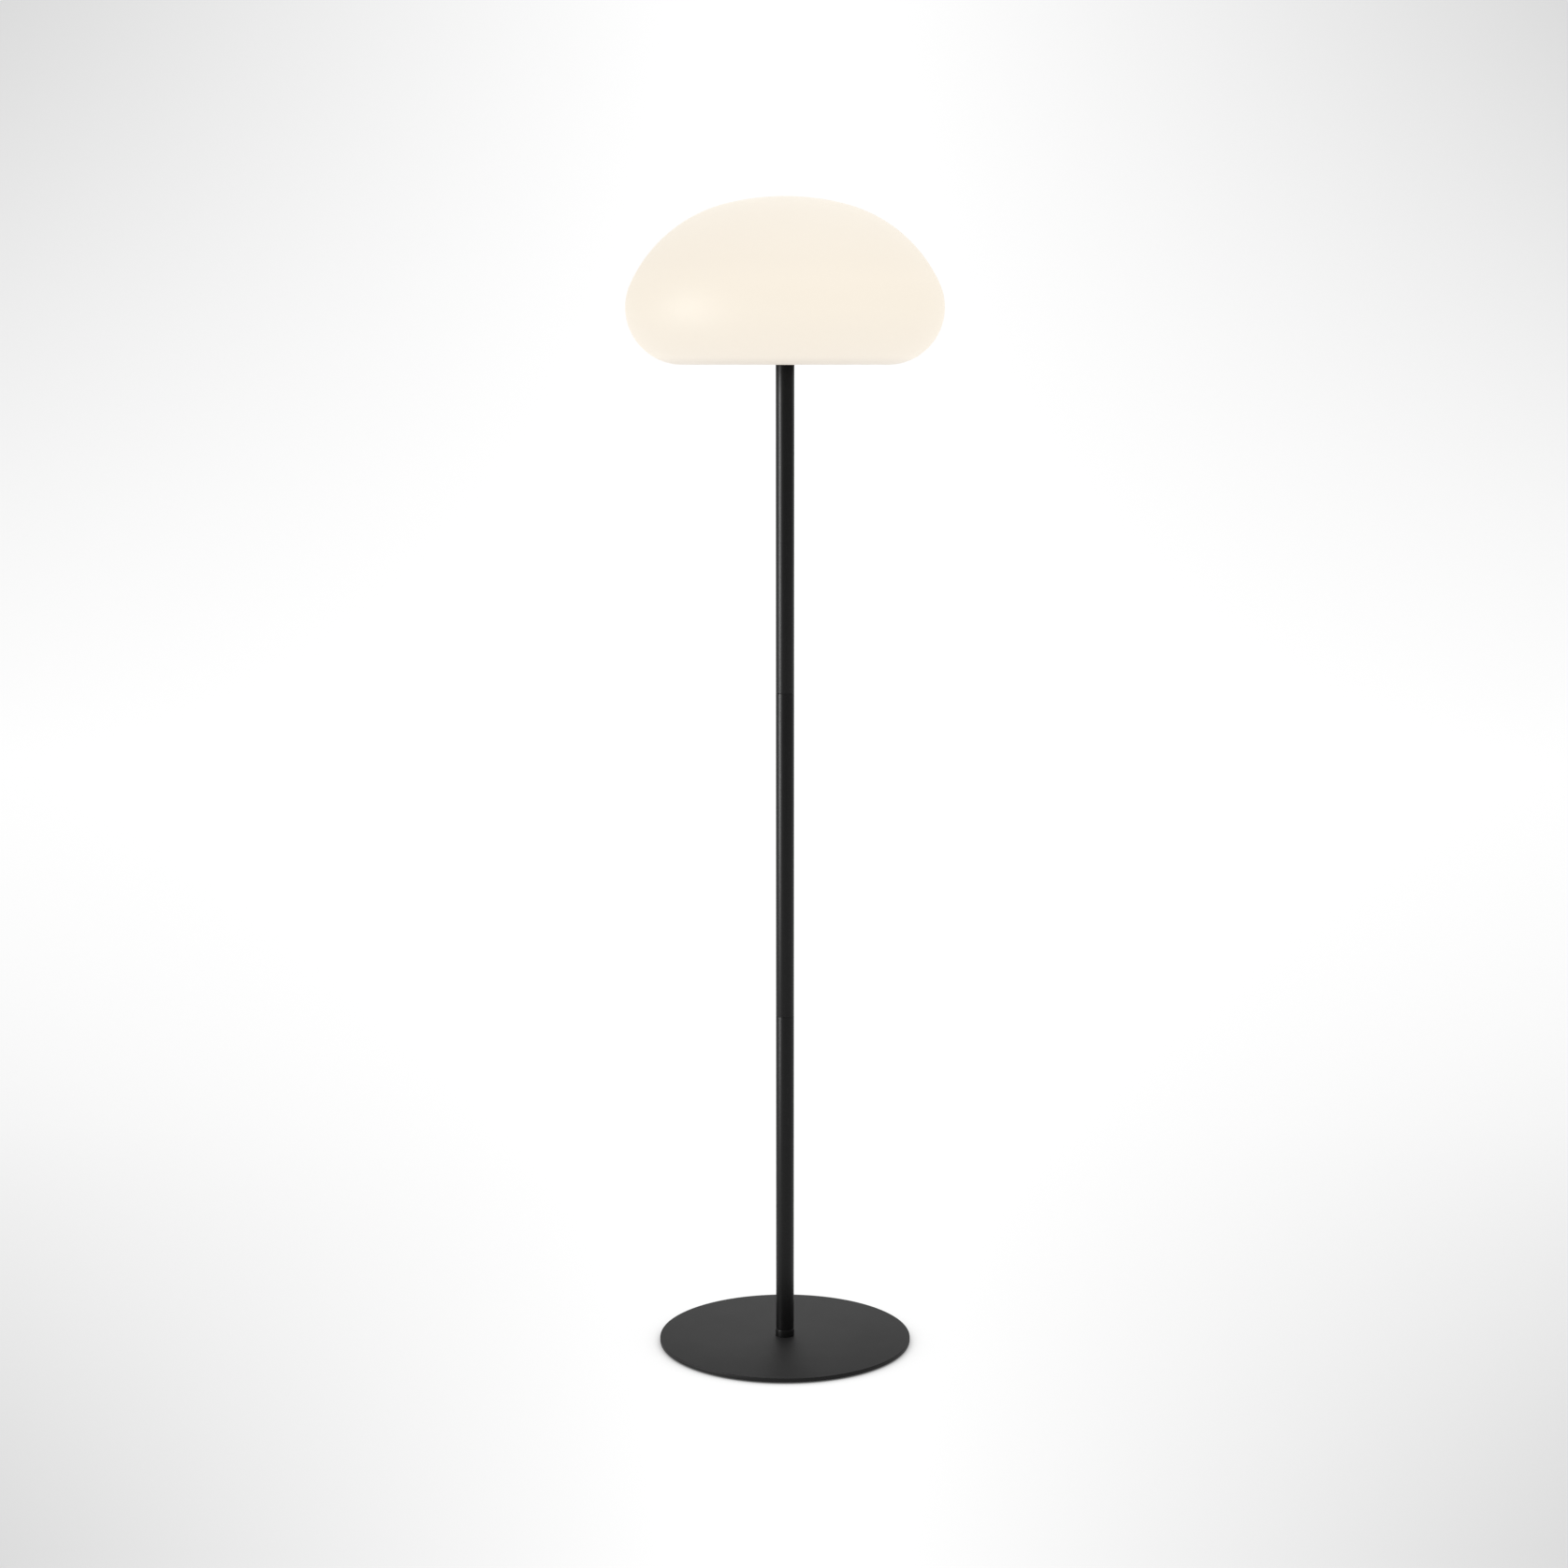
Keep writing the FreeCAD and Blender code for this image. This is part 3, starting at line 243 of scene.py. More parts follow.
def rubber(name, dark, pale):
    finish = Finish(name, IOR=1.52, Specular_IOR_Level=0.3)
    grain = finish.noise(0.35, 4.0)
    cloud = finish.noise(12)
    finish.link(Base_Color=finish.ramp(grain * 0.6 + cloud * 0.4, (0.3, dark), (0.7, pale)),
                Roughness=0.7 + cloud * 0.18)
    finish.bump(grain, 0.3, 0.03)
    return finish


def grained_plastic(name, dark, pale, grain_mm=0.45):
    """Moulded plastic with a spark-eroded grain."""
    finish = Finish(name, IOR=1.49, Specular_IOR_Level=0.4)
    grain = finish.cells(grain_mm) * 0.6 + finish.noise(grain_mm * 1.6, 3.0) * 0.4
    cloud = finish.noise(25)
    finish.link(Base_Color=finish.ramp(grain, (0.1, dark), (0.8, pale)), Roughness=0.46 + cloud * 0.16)
    finish.bump(grain, 0.35, 0.04)
    return finish


def plated_metal(name, dark, pale, rough=0.28):
    """Plated or machined metal with fine scratches and soft stains."""
    finish = Finish(name, Metallic=1.0)
    scratch = finish.noise(0.5, 5.0, (1.0, 6.0, 1.0))
    stain = finish.noise(9, 3.0)
    finish.link(Base_Color=finish.ramp(stain * 0.6 + scratch * 0.4, (0.3, dark), (0.7, pale)),
                Roughness=rough + scratch * 0.1 + stain * 0.1)
    finish.bump(scratch, 0.15, 0.01)
    return finish


def turned_metal(name, dark, pale):
    """Lathe-turned metal: fine rings round the lamp's axis."""
    finish = Finish(name, Metallic=1.0)
    rings = (finish.from_axis * 24000.0).sine() * 0.5 + 0.5
    stain = finish.noise(10, 3.0)
    finish.link(Base_Color=finish.ramp(rings * 0.4 + stain * 0.6, (0.2, dark), (0.8, pale)),
                Roughness=0.24 + rings * 0.1 + stain * 0.08)
    finish.bump(rings, 0.2, 0.01)
    return finish


def circuit_board(name, mask, track, pad):
    """Solder mask over branching copper tracks, with plated dots."""
    finish = Finish(name, IOR=1.52, Coat_Roughness=0.2)
    tracks = finish.cells(5.5, "DISTANCE_TO_EDGE").between(0.09, 0.06)
    dots = finish.cells(3.4).between(0.2, 0.16)
    weave = finish.noise(0.7, 2.0)
    laid = finish.net.mix(tracks, solid(mask), solid(track))
    finish.link(Base_Color=finish.net.mix(dots, laid, solid(pad)), Metallic=dots * 0.8,
                Roughness=0.38 + weave * 0.1 - dots * 0.1, Coat_Weight=0.35 - dots * 0.3)
    finish.bump(tracks * 0.7 + weave * 0.1, 0.3, 0.04)
    return finish


def phosphor():
    """Yellow phosphor in a pale frame, one cell to a chip."""
    finish = Finish("phosphor", IOR=1.5, Emission_Strength=1.5)
    grain = finish.noise(0.3, 3.0)
    tone = finish.ramp(grain, (0.3, srgb(238, 204, 96)), (0.7, srgb(250, 226, 140)))
    finish.link(Base_Color=tone, Emission_Color=tone, Roughness=0.35 + grain * 0.15)
    finish.bump(grain, 0.2, 0.02)
    return finish


def frosted_plastic():
    finish = Finish("frosted_plastic", IOR=1.49, Specular_IOR_Level=0.35)
    grain = finish.noise(0.5, 3.0)
    cloud = finish.noise(18)
    finish.link(Base_Color=finish.ramp(cloud, (0.3, grey(226)), (0.7, grey(238))), Roughness=0.5 + grain * 0.12)
    finish.bump(grain, 0.2, 0.02)
    return finish


def cell_sleeve():
    """Shrink sleeve on the cells, drawn in a little at the ends."""
    finish = Finish("cell_sleeve", IOR=1.53, Coat_Roughness=0.12)
    wrinkle = finish.noise(5, 2.0, (1.0, 0.25, 1.0))
    tone = finish.ramp(wrinkle, (0.3, srgb(38, 92, 150)), (0.7, srgb(48, 108, 168)))
    past = finish.along.sum("ABSOLUTE", finish.along).between(0.0318, 0.0321)
    finish.link(Base_Color=finish.net.mix(past, tone, solid(grey(176))), Metallic=past,
                Roughness=0.26 + wrinkle * 0.1, Coat_Weight=0.5 - past * 0.5)
    finish.bump(wrinkle, 0.25, 0.15)
    return finish


def wire_sleeve():
    """Two wires, red on one side of the lamp's axis and black on the other."""
    finish = Finish("wire_sleeve", IOR=1.5)
    grain = finish.noise(0.6, 2.0)
    tone = finish.net.mix(finish.across > 0.0, solid(srgb(36, 36, 38)), solid(srgb(176, 34, 30)))
    finish.link(Base_Color=finish.net.mix(grain * 0.15, tone, solid(grey(120))), Roughness=0.42 + grain * 0.12)
    finish.bump(grain, 0.15, 0.02)
    return finish


FINISHES = {
    "black_coat": powder_coat("tube_coat", 0.3, 0.2),
    # The plate's last number is its share of painted sheen towards the middle.
    "plate_coat": powder_coat("plate_coat", 0.5, 0.22, 0.3),
    "pad_rubber": rubber("pad_rubber", grey(30), grey(48)),
    "steel": plated_metal("zinc_plate", grey(170), grey(205)),
    "opal_shade": opal_plastic(),
    "seal_rubber": rubber("seal_silicone", grey(118), grey(140)),
    "black_plastic": grained_plastic("black_moulding", grey(28), grey(44)),
    "aluminium": turned_metal("turned_aluminium", grey(190), grey(216)),
    "circuit": circuit_board("driver_mask", srgb(20, 84, 52), srgb(34, 108, 66), srgb(206, 190, 140)),
    "light_circuit": circuit_board("white_mask", grey(228), grey(214), srgb(212, 208, 190)),
    "light_chip": phosphor(),
    "frosted": frosted_plastic(),
    "cell_sleeve": cell_sleeve(),
    "nickel": plated_metal("nickel_strip", srgb(178, 172, 158), srgb(206, 200, 186), 0.22),
    "wire": wire_sleeve(),
    "button_plastic": grained_plastic("button_moulding", grey(36), grey(52), 0.3),
    "contact": plated_metal("gold_contact", srgb(196, 154, 82), srgb(226, 188, 112), 0.18),
    "cover_rubber": rubber("cover_rubber", grey(34), grey(50)),
}


# ------------------------------------------------------------------ forms that follow a rule
def form_tree(name, inputs):
    """An empty Geometry Nodes tree with named inputs; gives the net and its inputs."""
    tree = bpy.data.node_groups.new(name, "GeometryNodeTree")
    tree.interface.new_socket("Geometry", in_out="OUTPUT", socket_type="NodeSocketGeometry")
    for label, kind in inputs:
        tree.interface.new_socket(label, in_out="INPUT", socket_type=f"NodeSocket{kind}")
    net = Net(tree)
    first = net.add("NodeGroupInput")
    return net, first


def spun_rows(net, rows, steps, radius_of, height_of, finish):
    """A grid bent round the upright axis: row by row from the given radius and height."""
    grid = net.add("GeometryNodeMeshGrid", None, {"Vertices X": steps + 1, "Vertices Y": rows})
    index = net.add("GeometryNodeInputIndex")
    turn = (index // rows) * (2 * math.pi) / steps
    row = index % rows
    radius, height = radius_of(row), height_of(row)
    spot = net.add("ShaderNodeCombineXYZ", None, {0: radius * turn.cosine(), 1: radius * turn.sine(), 2: height})
    bent = net.add("GeometryNodeSetPosition", None, {"Geometry": grid, "Position": spot})
    closed = net.add("GeometryNodeMergeByDistance", None, {"Geometry": bent, "Distance": 0.000002})
    smooth = net.add("GeometryNodeSetShadeSmooth", {"domain": "FACE"}, {"Geometry": closed, "Shade Smooth": True})
    angle = net.add("GeometryNodeInputMeshEdgeAngle", give="Unsigned Angle")
    crease = angle > math.radians(34)
    hard = net.add("GeometryNodeSetShadeSmooth", {"domain": "EDGE"},
                   {"Geometry": smooth, "Selection": crease, "Shade Smooth": False})
    coated = net.add("GeometryNodeSetMaterial", None, {"Geometry": hard, "Material": finish})
    net.add("NodeGroupOutput", None, {0: coated})


def turned_form_tree():
    """A lathe: the outline given as points (radius, 0, height), turned about the axis."""
    net, first = form_tree("turned_form", [("Outline", "Geometry"), ("Points", "Int"), ("Steps", "Int"),
                                           ("Finish", "Material")])
    outline = first.out("Outline")

    def spot(row):
        place = net.add("GeometryNodeInputPosition")
        found = net.add("GeometryNodeSampleIndex", {"data_type": "FLOAT_VECTOR"},
                        {"Geometry": outline, "Value": place, "Index": row})
        return net.add("ShaderNodeSeparateXYZ", None, {0: found})

    spun_rows(net, first.out("Points"), first.out("Steps"), lambda row: spot(row).out("X"),
              lambda row: spot(row).out("Z"), first.out("Finish"))
    return net.tree


def dome_shell_tree():
    """The shade: three tangent arcs outside, the same arcs a wall further in, and the given mouth."""
    net, first = form_tree("dome_shell", [
        ("Mouth", "Geometry"), ("Mouth Points", "Int"), ("Level", "Float"), ("Radius", "Float"),
        ("Lip Arc", "Float"), ("Lip Turn", "Float"), ("Shoulder Arc", "Float"), ("Shoulder Turn", "Float"),
        ("Wall", "Float"), ("Arc Points", "Int"), ("Steps", "Int"), ("Finish", "Material")])
    lip_arc, lip_turn = first.out("Lip Arc"), first.out("Lip Turn")
    shoulder_arc, shoulder_turn = first.out("Shoulder Arc"), first.out("Shoulder Turn")
    points = first.out("Arc Points")
    lip_across = first.out("Radius") - lip_arc
    reach = shoulder_arc - lip_arc
    shoulder_across = lip_across - reach * lip_turn.cosine()
    shoulder_up = lip_arc - reach * lip_turn.sine()
    crown_arc = shoulder_arc + shoulder_across / shoulder_turn.cosine()
    crown_up = shoulder_up - shoulder_across * shoulder_turn.sine() / shoulder_turn.cosine()

    def by_arc(lean, lip, shoulder, crown):
        past_lip = lean > lip_turn
        past_shoulder = lean > shoulder_turn
        upper = shoulder + (crown - shoulder) * past_shoulder
        return lip + (upper - lip) * past_lip

    def spot(row):
        """Where a row lies; the lean is the angle of the wall's outward normal above level."""
        inside = row > points - 0.5
        step = row + inside * (points * 2 - 1 - row * 2)
        lean = step / (points - 1) * math.pi - math.pi / 2
        arc = by_arc(lean, lip_arc, shoulder_arc, crown_arc) - inside * first.out("Wall")
        across = by_arc(lean, lip_across, shoulder_across, lip_across * 0.0) + arc * lean.cosine()
        up = by_arc(lean, lip_arc, shoulder_up, crown_up) + arc * lean.sine()
        in_mouth = row > points * 2 - 0.5
        place = net.add("GeometryNodeInputPosition")
        found = net.add("GeometryNodeSampleIndex", {"data_type": "FLOAT_VECTOR"},
                        {"Geometry": first.out("Mouth"), "Value": place, "Index": row - points * 2})
        mouth = net.add("ShaderNodeSeparateXYZ", None, {0: found})
        return (across + (mouth.out("X") - across) * in_mouth,
                up + (mouth.out("Z") - up) * in_mouth + first.out("Level"))

    rows = points * 2 + first.out("Mouth Points")
    spun_rows(net, rows, first.out("Steps"), lambda row: spot(row)[0], lambda row: spot(row)[1],
              first.out("Finish"))
    return net.tree


def ring_of_tree():
    """One part set evenly round the lamp's axis."""
    net, first = form_tree("ring_of", [("Part", "Geometry"), ("Count", "Int"), ("Ring Radius", "Float"),
                                       ("Level", "Float"), ("Finish", "Material")])
    turn = net.add("GeometryNodeInputIndex") * (2 * math.pi) / first.out("Count")
    reach = first.out("Ring Radius")
    spot = net.add("ShaderNodeCombineXYZ", None, {0: reach * turn.cosine(), 1: reach * turn.sine(),
                                                  2: first.out("Level")})
    ring = net.add("GeometryNodePoints", None, {"Count": first.out("Count"), "Position": spot})
    facing = net.add("ShaderNodeCombineXYZ", None, {2: turn})
    set_out = net.add("GeometryNodeInstanceOnPoints", None, {"Points": ring, "Instance": first.out("Part"),
                                                             "Rotation": facing})
    real = net.add("GeometryNodeRealizeInstances", None, {"Geometry": set_out})
    coated = net.add("GeometryNodeSetMaterial", None, {"Geometry": real, "Material": first.out("Finish")})
    net.add("NodeGroupOutput", None, {0: coated})
    return net.tree


TURNED_FORM = turned_form_tree()
DOME_SHELL = dome_shell_tree()
RING_OF = ring_of_tree()


def formed(name, tree, start, values):
    """Run a tree on a starting mesh and hand the result back as a plain mesh."""
    carrier = bpy.data.objects.new(f"{name}_form", start)
    scene.collection.objects.link(carrier)
    modifier = carrier.modifiers.new("form", "NODES")
    modifier.node_group = tree
    for item in tree.interface.items_tree:
        if item.in_out == "INPUT" and item.name in values:
            modifier[item.identifier] = values[item.name]
    ready = carrier.evaluated_get(bpy.context.evaluated_depsgraph_get())
    mesh = bpy.data.meshes.new_from_object(ready)
    mesh.name = name
    carrier.modifiers.remove(modifier)
    bpy.data.objects.remove(carrier)
    return mesh


def softened(corners, steps=4):
    """The outline (radius, height, rounding) in millimetres with its corners rounded."""
    points = []
    for number, (across, up, rounding) in enumerate(corners):
        if not rounding:
            points.append((across, up))
            continue
        before = corners[number - 1]
        after = corners[(number + 1) % len(corners)]
        ends = []
        for other in (before, after):
            away = math.hypot(other[0] - across, other[1] - up)
            ends.append((across + (other[0] - across) * rounding / away, up + (other[1] - up) * rounding / away))
        for step in range(steps + 1):
            share = step / steps
            weights = ((1 - share) ** 2, 2 * share * (1 - share), share ** 2)
            points.append(tuple(weights[0] * ends[0][axis] + weights[1] * (across, up)[axis]
                                + weights[2] * ends[1][axis] for axis in (0, 1)))
    return points


def outline_mesh(name, points, level=0.0):
    mesh = bpy.data.meshes.new(f"{name}_outline")
    mesh.from_pydata([(across * MM, 0.0, (up + level) * MM) for across, up in points], [], [])
    return mesh


def turned(name, finish, corners, level=0.0, steps=96, closed=True):
    """A turned mesh from its outline, walked anticlockwise: foot, outside, top, inside."""
    points = softened(corners)
    if closed:
        points.append(points[0])
    values = {"Points": len(points), "Steps": steps, "Finish": FINISHES[finish].material}
    return formed(name, TURNED_FORM, outline_mesh(name, points, level), values)


def fit_piece(name, mesh, finish, body, *nodes):
    """Put a finished mesh in the scene in place of the named nodes."""
    piece = bpy.data.objects.new(name, mesh)
    scene.collection.objects.link(piece)
    if not mesh.materials:
        mesh.materials.append(FINISHES[finish].material)
    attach(piece, body)
    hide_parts(*nodes)
    return piece


# ------------------------------------------------------------------ stand
def plate_and_feet():
    """The round plate, its edge eased, and six ringed rubber pads under it."""
    plate = turned("plate_skin", "plate_coat", [
        (6.3, 0, 0), (PLATE_RADIUS, 0, 0.3), (PLATE_RADIUS, PLATE_TOP - PLATE_LOW, 0.9), (3.3, 4, 0), (3.3, 3, 0)],
        PLATE_LOW, steps=256)
    fit_piece("plate_skin", plate, "black_coat", "lamp", "base_plate")
    pad = turned("pad_form", "pad_rubber", [
        (0, 0.25, 0), (1.6, 0.25, 0), (2.0, 0, 0), (3.2, 0, 0), (3.6, 0.35, 0), (4.6, 0.35, 0), (5.0, 0, 0),
        (6.2, 0, 0), (6.6, 0.35, 0), (7.6, 0.35, 0), (8.0, 0, 0), (9.9, 0, 0.5), (10.0, 2, 0), (0, 2, 0)],
        steps=40, closed=False)
    values = {"Count": PAD_COUNT, "Ring Radius": PAD_RING * MM, "Level": 0.0,
              "Finish": FINISHES["pad_rubber"].material}
    fit_piece("foot_pad_set", formed("foot_pad_set", RING_OF, pad, values), "pad_rubber", "lamp", "foot_pads")


def pole_skins():
    """The collar on the plate and the three tubes, with eased ends that leave a fine line at each seam."""
    collar = turned("collar_skin", "black_coat", [
        (3, 0, 0), (10.5, 0, 0.3), (10.5, 8, 0.6), (4.95, 8, 0), (4.95, 24, 0.6), (0, 24, 0), (0, 11.3, 0),
        (3, 11.3, 0)], PLATE_TOP, closed=False)
    fit_piece("collar_skin", collar, "black_coat", "lamp", "foot_collar")
    for number, name in enumerate(("lower", "middle", "upper")):
        tube = turned(f"tube_{name}", "black_coat", [
            (TUBE_BORE, 0, 0), (POLE_RADIUS, 0, 0.45), (POLE_RADIUS, TUBE_LONG, 0.45), (TUBE_BORE, TUBE_LONG, 0)],
            POLE_FOOT + TUBE_LONG * number)
        fit_piece(f"tube_{name}", tube, "black_coat", "lamp", f"pole_{name}")


# ------------------------------------------------------------------ head
def shade_skin():
    """The moulded dome; the mouth's points run from the inner step round to the underside."""
    step_radius = MOUTH_RADIUS + SHADE_WALL
    mouth = [(step_radius, SHADE_WALL), (step_radius, 6.6), (60.0, 6.6), (60.0, 4.0), (MOUTH_RADIUS, 4.0),
             (MOUTH_RADIUS, 1.0), (68.45, 0.5), (68.8, 0.15), (69.3, 0.0), (110.0, 0.0)]
    values = {"Mouth Points": len(mouth), "Level": HEAD * MM, "Radius": SHADE_RADIUS * MM, "Lip Arc": 60 * MM,
              "Lip Turn": math.radians(25), "Shoulder Arc": 152 * MM, "Shoulder Turn": math.radians(75.5),
              "Wall": SHADE_WALL * MM, "Arc Points": 96, "Steps": 224, "Finish": FINISHES["opal_shade"].material}
    shell = formed("shade_skin", DOME_SHELL, outline_mesh("mouth", mouth), values)
    fit_piece("shade_skin", shell, "opal_shade", "lamp", "shade")


def screw_form(name, head, sink, shank, long, key, deep):
    """A countersunk screw, head down, with a hexagon socket; lofted ring by ring."""
    round_ring, hexagon = 0, 6
    rings = [(hexagon, key, deep), (hexagon, key, 0.0), (round_ring, head, 0.0), (round_ring, head, 0.12),
             (round_ring, shank, sink), (round_ring, shank, long)]
    steps = 24
    mesh = bmesh.new()
    loops = []
    for corners, radius, up in rings:
        loop = []
        for step in range(steps):
            turn = 2 * math.pi * step / steps
            reach = radius
            if corners:
                half = math.pi / corners
                reach = radius * math.cos(half) / math.cos(turn % (2 * half) - half)
            loop.append(mesh.verts.new((reach * math.cos(turn) * MM, reach * math.sin(turn) * MM, up * MM)))
        loops.append(loop)
    for low, high in zip(loops, loops[1:]):
        for step in range(steps):
            after = (step + 1) % steps
            mesh.faces.new((low[step], high[step], high[after], low[after]))
    mesh.faces.new(loops[0])
    mesh.faces.new(list(reversed(loops[-1])))
    bmesh.ops.recalc_face_normals(mesh, faces=mesh.faces)
    made = bpy.data.meshes.new(name)
    mesh.to_mesh(made)
    mesh.free()
    return made


def screws():
    """The countersunk screws that show: round the clamp ring, round the pole, and under the plate."""
    steel = FINISHES["steel"].material
    for name, ring, long, count, node in (("clamp_screw_set", 64.0, 11.55, 4, "clamp_screws"),
                                          ("socket_screw_set", 14.2, 6.95, 3, "socket_screws")):
        form = screw_form(f"{name}_one", 2.9, 1.4, 1.5, long, 1.15, 1.3)
        values = {"Count": count, "Ring Radius": ring * MM, "Level": HEAD * MM, "Finish": steel}
        fit_piece(name, formed(name, RING_OF, form, values), "steel", "lamp", node)
    form = screw_form("base_screw_one", 6.0, 3.05, 2.95, 15.0, 2.3, 2.9)
    values = {"Count": 1, "Ring Radius": 0.0, "Level": PLATE_LOW * MM, "Finish": steel}
    fit_piece("base_screw_skin", formed("base_screw_skin", RING_OF, form, values), "steel", "lamp", "base_screw")


def button_skin():
    """The push button: a shallow hollow in its face inside a rounded rim."""
    mesh = turned("button_skin", "button_plastic", [
        (0, 0.75, 0), (3.2, 0.68, 1.4), (5.9, 0.42, 0.7), (6.7, 0.4, 0.3), (7.5, 1.2, 0.5), (7.5, 3.0, 0),
        (8.5, 3.0, 0), (8.5, 4.2, 0.3), (3.0, 4.2, 0), (3.0, 7.4, 0), (0, 7.4, 0)], HEAD, steps=72, closed=False)
    mesh.transform(Matrix.Translation((0.0, -BUTTON_ALONG * MM, 0.0)))
    fit_piece("button_skin", mesh, "button_plastic", "button", "push_button")


def rounded_slab(mesh, low, high, corner, level, top, lean=0.0):
    """An upright slab with rounded corners; lean draws its top edge in."""
    rings = []
    for up, draw in ((level, lean), (level + lean, 0.0), (top - lean, 0.0), (top, lean)):
        ring = []
        for number, (side, front) in enumerate(((1, 1), (-1, 1), (-1, -1), (1, -1))):
            middle = (high[0] - corner if side > 0 else low[0] + corner,
                      high[1] - corner if front > 0 else low[1] + corner)
            for step in range(7):
                turn = math.radians(90 * number + 15 * step)
                reach = corner - draw
                ring.append(mesh.verts.new(((middle[0] + reach * math.cos(turn)) * MM,
                                            (middle[1] + reach * math.sin(turn)) * MM, up * MM)))
        rings.append(ring)
    for lower, upper in zip(rings, rings[1:]):
        for step in range(len(lower)):
            after = (step + 1) % len(lower)
            mesh.faces.new((lower[step], lower[after], upper[after], upper[step]))
    mesh.faces.new(list(reversed(rings[0])))
    mesh.faces.new(rings[-1])


def cover_skin():
    """The rubber port cover: a soft-edged flap with its plug and three grip ribs at the free end."""
    mesh = bmesh.new()
    middle = PORT_ALONG
    rounded_slab(mesh, (-9.1, middle - 5.5), (8.5, middle + 5.5), 0.6, HEAD + 0.12, HEAD + 1.2, 0.25)
    rounded_slab(mesh, (-6.7, middle - 3.7), (6.7, middle + 3.7), 1.0, HEAD + 1.15, HEAD + 2.7, 0.2)
    for across in (5.0, 6.2, 7.4):
        rounded_slab(mesh, (across - 0.3, middle - 3.5), (across + 0.3, middle + 3.5), 0.28, HEAD,
                     HEAD + 0.2, 0.08)
    made = bpy.data.meshes.new("cover_skin")
    mesh.to_mesh(made)
    mesh.free()
    fit_piece("cover_skin", made, "cover_rubber", "cover", "port_cover")


def coat_nodes():
    """Every node that stays gets the finish of its material slot."""
    for entry in frame["record"]["subparts"]:
        node = frame["nodes"][entry["node"]]
        finish = FINISHES[entry["material_slot"]].material
        for place in node.material_slots:
            place.material = finish


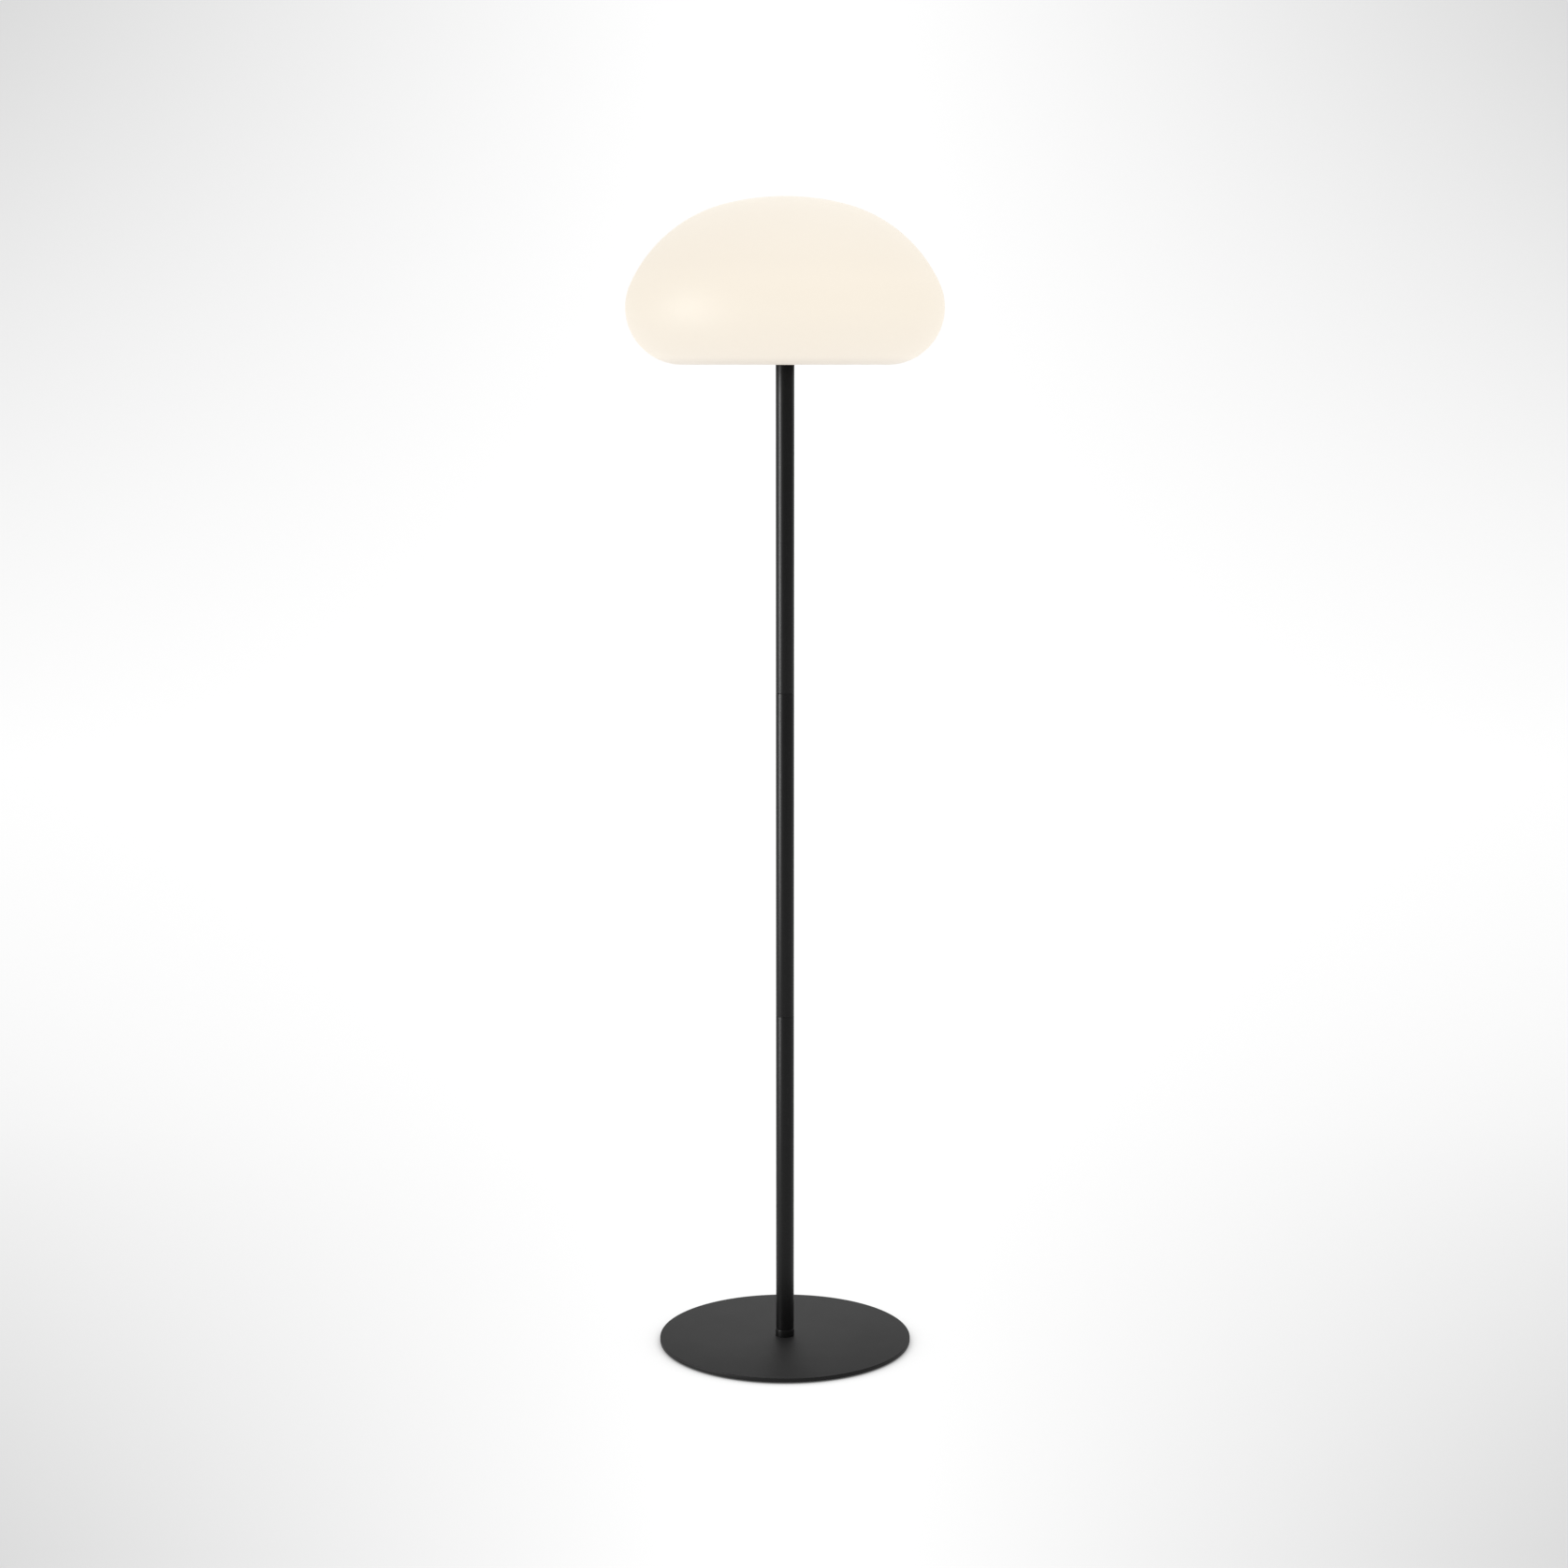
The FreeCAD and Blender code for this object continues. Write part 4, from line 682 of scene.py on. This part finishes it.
# ------------------------------------------------------------------ studio
def studio_sweep():
    """A pale paper floor that curves up into the wall behind, with a painted light falloff that greys it a little
    towards its sides.
    """
    front, wall_at, curve, tall, wide = -4.0, 2.6, 1.4, 5.0, 6.0
    section = [(front, 0.0), (wall_at - curve, 0.0)]
    bends = 24
    for step in range(1, bends):
        turn = math.pi / 2 * step / bends
        section.append((wall_at - curve + curve * math.sin(turn), curve - curve * math.cos(turn)))
    section += [(wall_at, curve), (wall_at, tall)]
    verts = [(side, along, up) for along, up in section for side in (-wide, wide)]
    faces = [(2 * n, 2 * n + 1, 2 * n + 3, 2 * n + 2) for n in range(len(section) - 1)]
    mesh = bpy.data.meshes.new("studio_sweep")
    mesh.from_pydata(verts, [], faces)
    for face in mesh.polygons:
        face.use_smooth = True
    sweep = bpy.data.objects.new("studio_sweep", mesh)
    scene.collection.objects.link(sweep)

    material = bpy.data.materials.new("studio_paper")
    material.use_nodes = True
    material.node_tree.nodes.clear()
    net = Net(material.node_tree)
    place = net.add("ShaderNodeTexCoord", give="Object")
    parts = net.add("ShaderNodeSeparateXYZ", None, {0: place})
    across, along, up = parts.out("X"), parts.out("Y"), parts.out("Z")
    # The painted falloff runs from the middle to the sides, and grows towards the front and up the wall.
    side = across.sum("ABSOLUTE", across) / (along * 0.27 + 0.88)
    near = net.add("ShaderNodeValToRGB", {"stops": [
        (0.0, (0.0,) * 3), (0.103, (0.12,) * 3), (0.527, (0.4,) * 3), (0.782, (0.69,) * 3), (0.99, (0.97,) * 3)
    ]}, {"Fac": (wall_at - along) / 3.2})
    high = (up - 0.35) / 1.4
    painted_falloff = side * (near + high.sum("MAXIMUM", high, 0.0))
    # Past the part of the paper that the camera sees, it goes back to white.
    painted_falloff = painted_falloff * along.between(-1.4, -0.75) * side.between(1.9, 1.15) * up.between(3.0, 2.0)
    # Painted light falloff: the white paper is painted greyer where the falloff grows.
    tone = net.mix(painted_falloff.sum("MINIMUM", painted_falloff, 1.0), solid(grey(255)), solid(grey(211)))
    paper = net.add("ShaderNodeBsdfDiffuse", None, {"Color": tone})
    # The paper glows for the camera and for mirrors, less where the plate stands close over it: a painted contact
    # shadow from ambient occlusion.
    painted_contact_shadow = net.add("ShaderNodeAmbientOcclusion", {"samples": 12}, {"Distance": 0.06}, give="AO")
    glow = net.add("ShaderNodeEmission", None, {"Color": tone, "Strength": painted_contact_shadow * 0.99})
    lit = net.add("ShaderNodeBsdfDiffuse", None, {"Color": solid((0.12, 0.12, 0.12))})
    shown = net.add("ShaderNodeAddShader", None, {0: glow, 1: lit})
    rays = net.add("ShaderNodeLightPath")
    seen = rays + rays.out("Is Glossy Ray") + rays.out("Is Transmission Ray")
    both = net.add("ShaderNodeMixShader", None, {0: seen, 1: paper, 2: shown})
    net.add("ShaderNodeOutputMaterial", None, {"Surface": both})
    mesh.materials.append(material)


def softbox(name, place, aim, size, power):
    """A rectangular area light at a place, turned to face a point."""
    light = bpy.data.lights.new(name, "AREA")
    light.shape = "RECTANGLE"
    light.size, light.size_y = size
    light.energy = power
    lamp = bpy.data.objects.new(name, light)
    scene.collection.objects.link(lamp)
    lamp.location = place
    away = [a - p for a, p in zip(aim, place)]
    flat = math.hypot(away[0], away[1])
    lamp.rotation_euler = (math.atan2(flat, -away[2]), 0.0, math.atan2(-away[0], away[1]))
    return lamp


def studio_light():
    """Even air, a soft box overhead, and a tall strip at the left that draws the pole's bright edge."""
    world = bpy.data.worlds.new("studio_air")
    world.use_nodes = True
    world.node_tree.nodes.clear()
    net = Net(world.node_tree)
    rays = net.add("ShaderNodeLightPath")
    strength = 0.5 + rays * 0.5
    air = net.add("ShaderNodeBackground", None, {"Color": solid((1.0, 1.0, 1.0)), "Strength": strength})
    net.add("ShaderNodeOutputWorld", None, {"Surface": air})
    scene.world = world
    strip = softbox("left_strip", (-2.3, -0.9, 0.95), (0, 0, 0.85), (0.7, 1.9), 95)
    strip.visible_diffuse = False  # only mirrored, so the shade keeps its even tone
    softbox("top_box", (0.3, -0.6, 3.4), (0, 0, 0.6), (2.2, 2.2), 9)


def camera():
    """A short telephoto at the height of the shade, tilted down a little."""
    lens = bpy.data.cameras.new("camera")
    lens.lens = 65.1
    lens.sensor_width = 36.0
    stand = bpy.data.objects.new("camera", lens)
    scene.collection.objects.link(stand)
    stand.location = (-0.0011, -3.060, 1.083)
    stand.rotation_euler = (math.radians(90 - 8.40), 0.0, 0.0)
    scene.camera = stand


plate_and_feet()
pole_skins()
shade_skin()
screws()
button_skin()
cover_skin()
coat_nodes()
studio_sweep()
studio_light()
camera()
scene.view_settings.view_transform = "Standard"
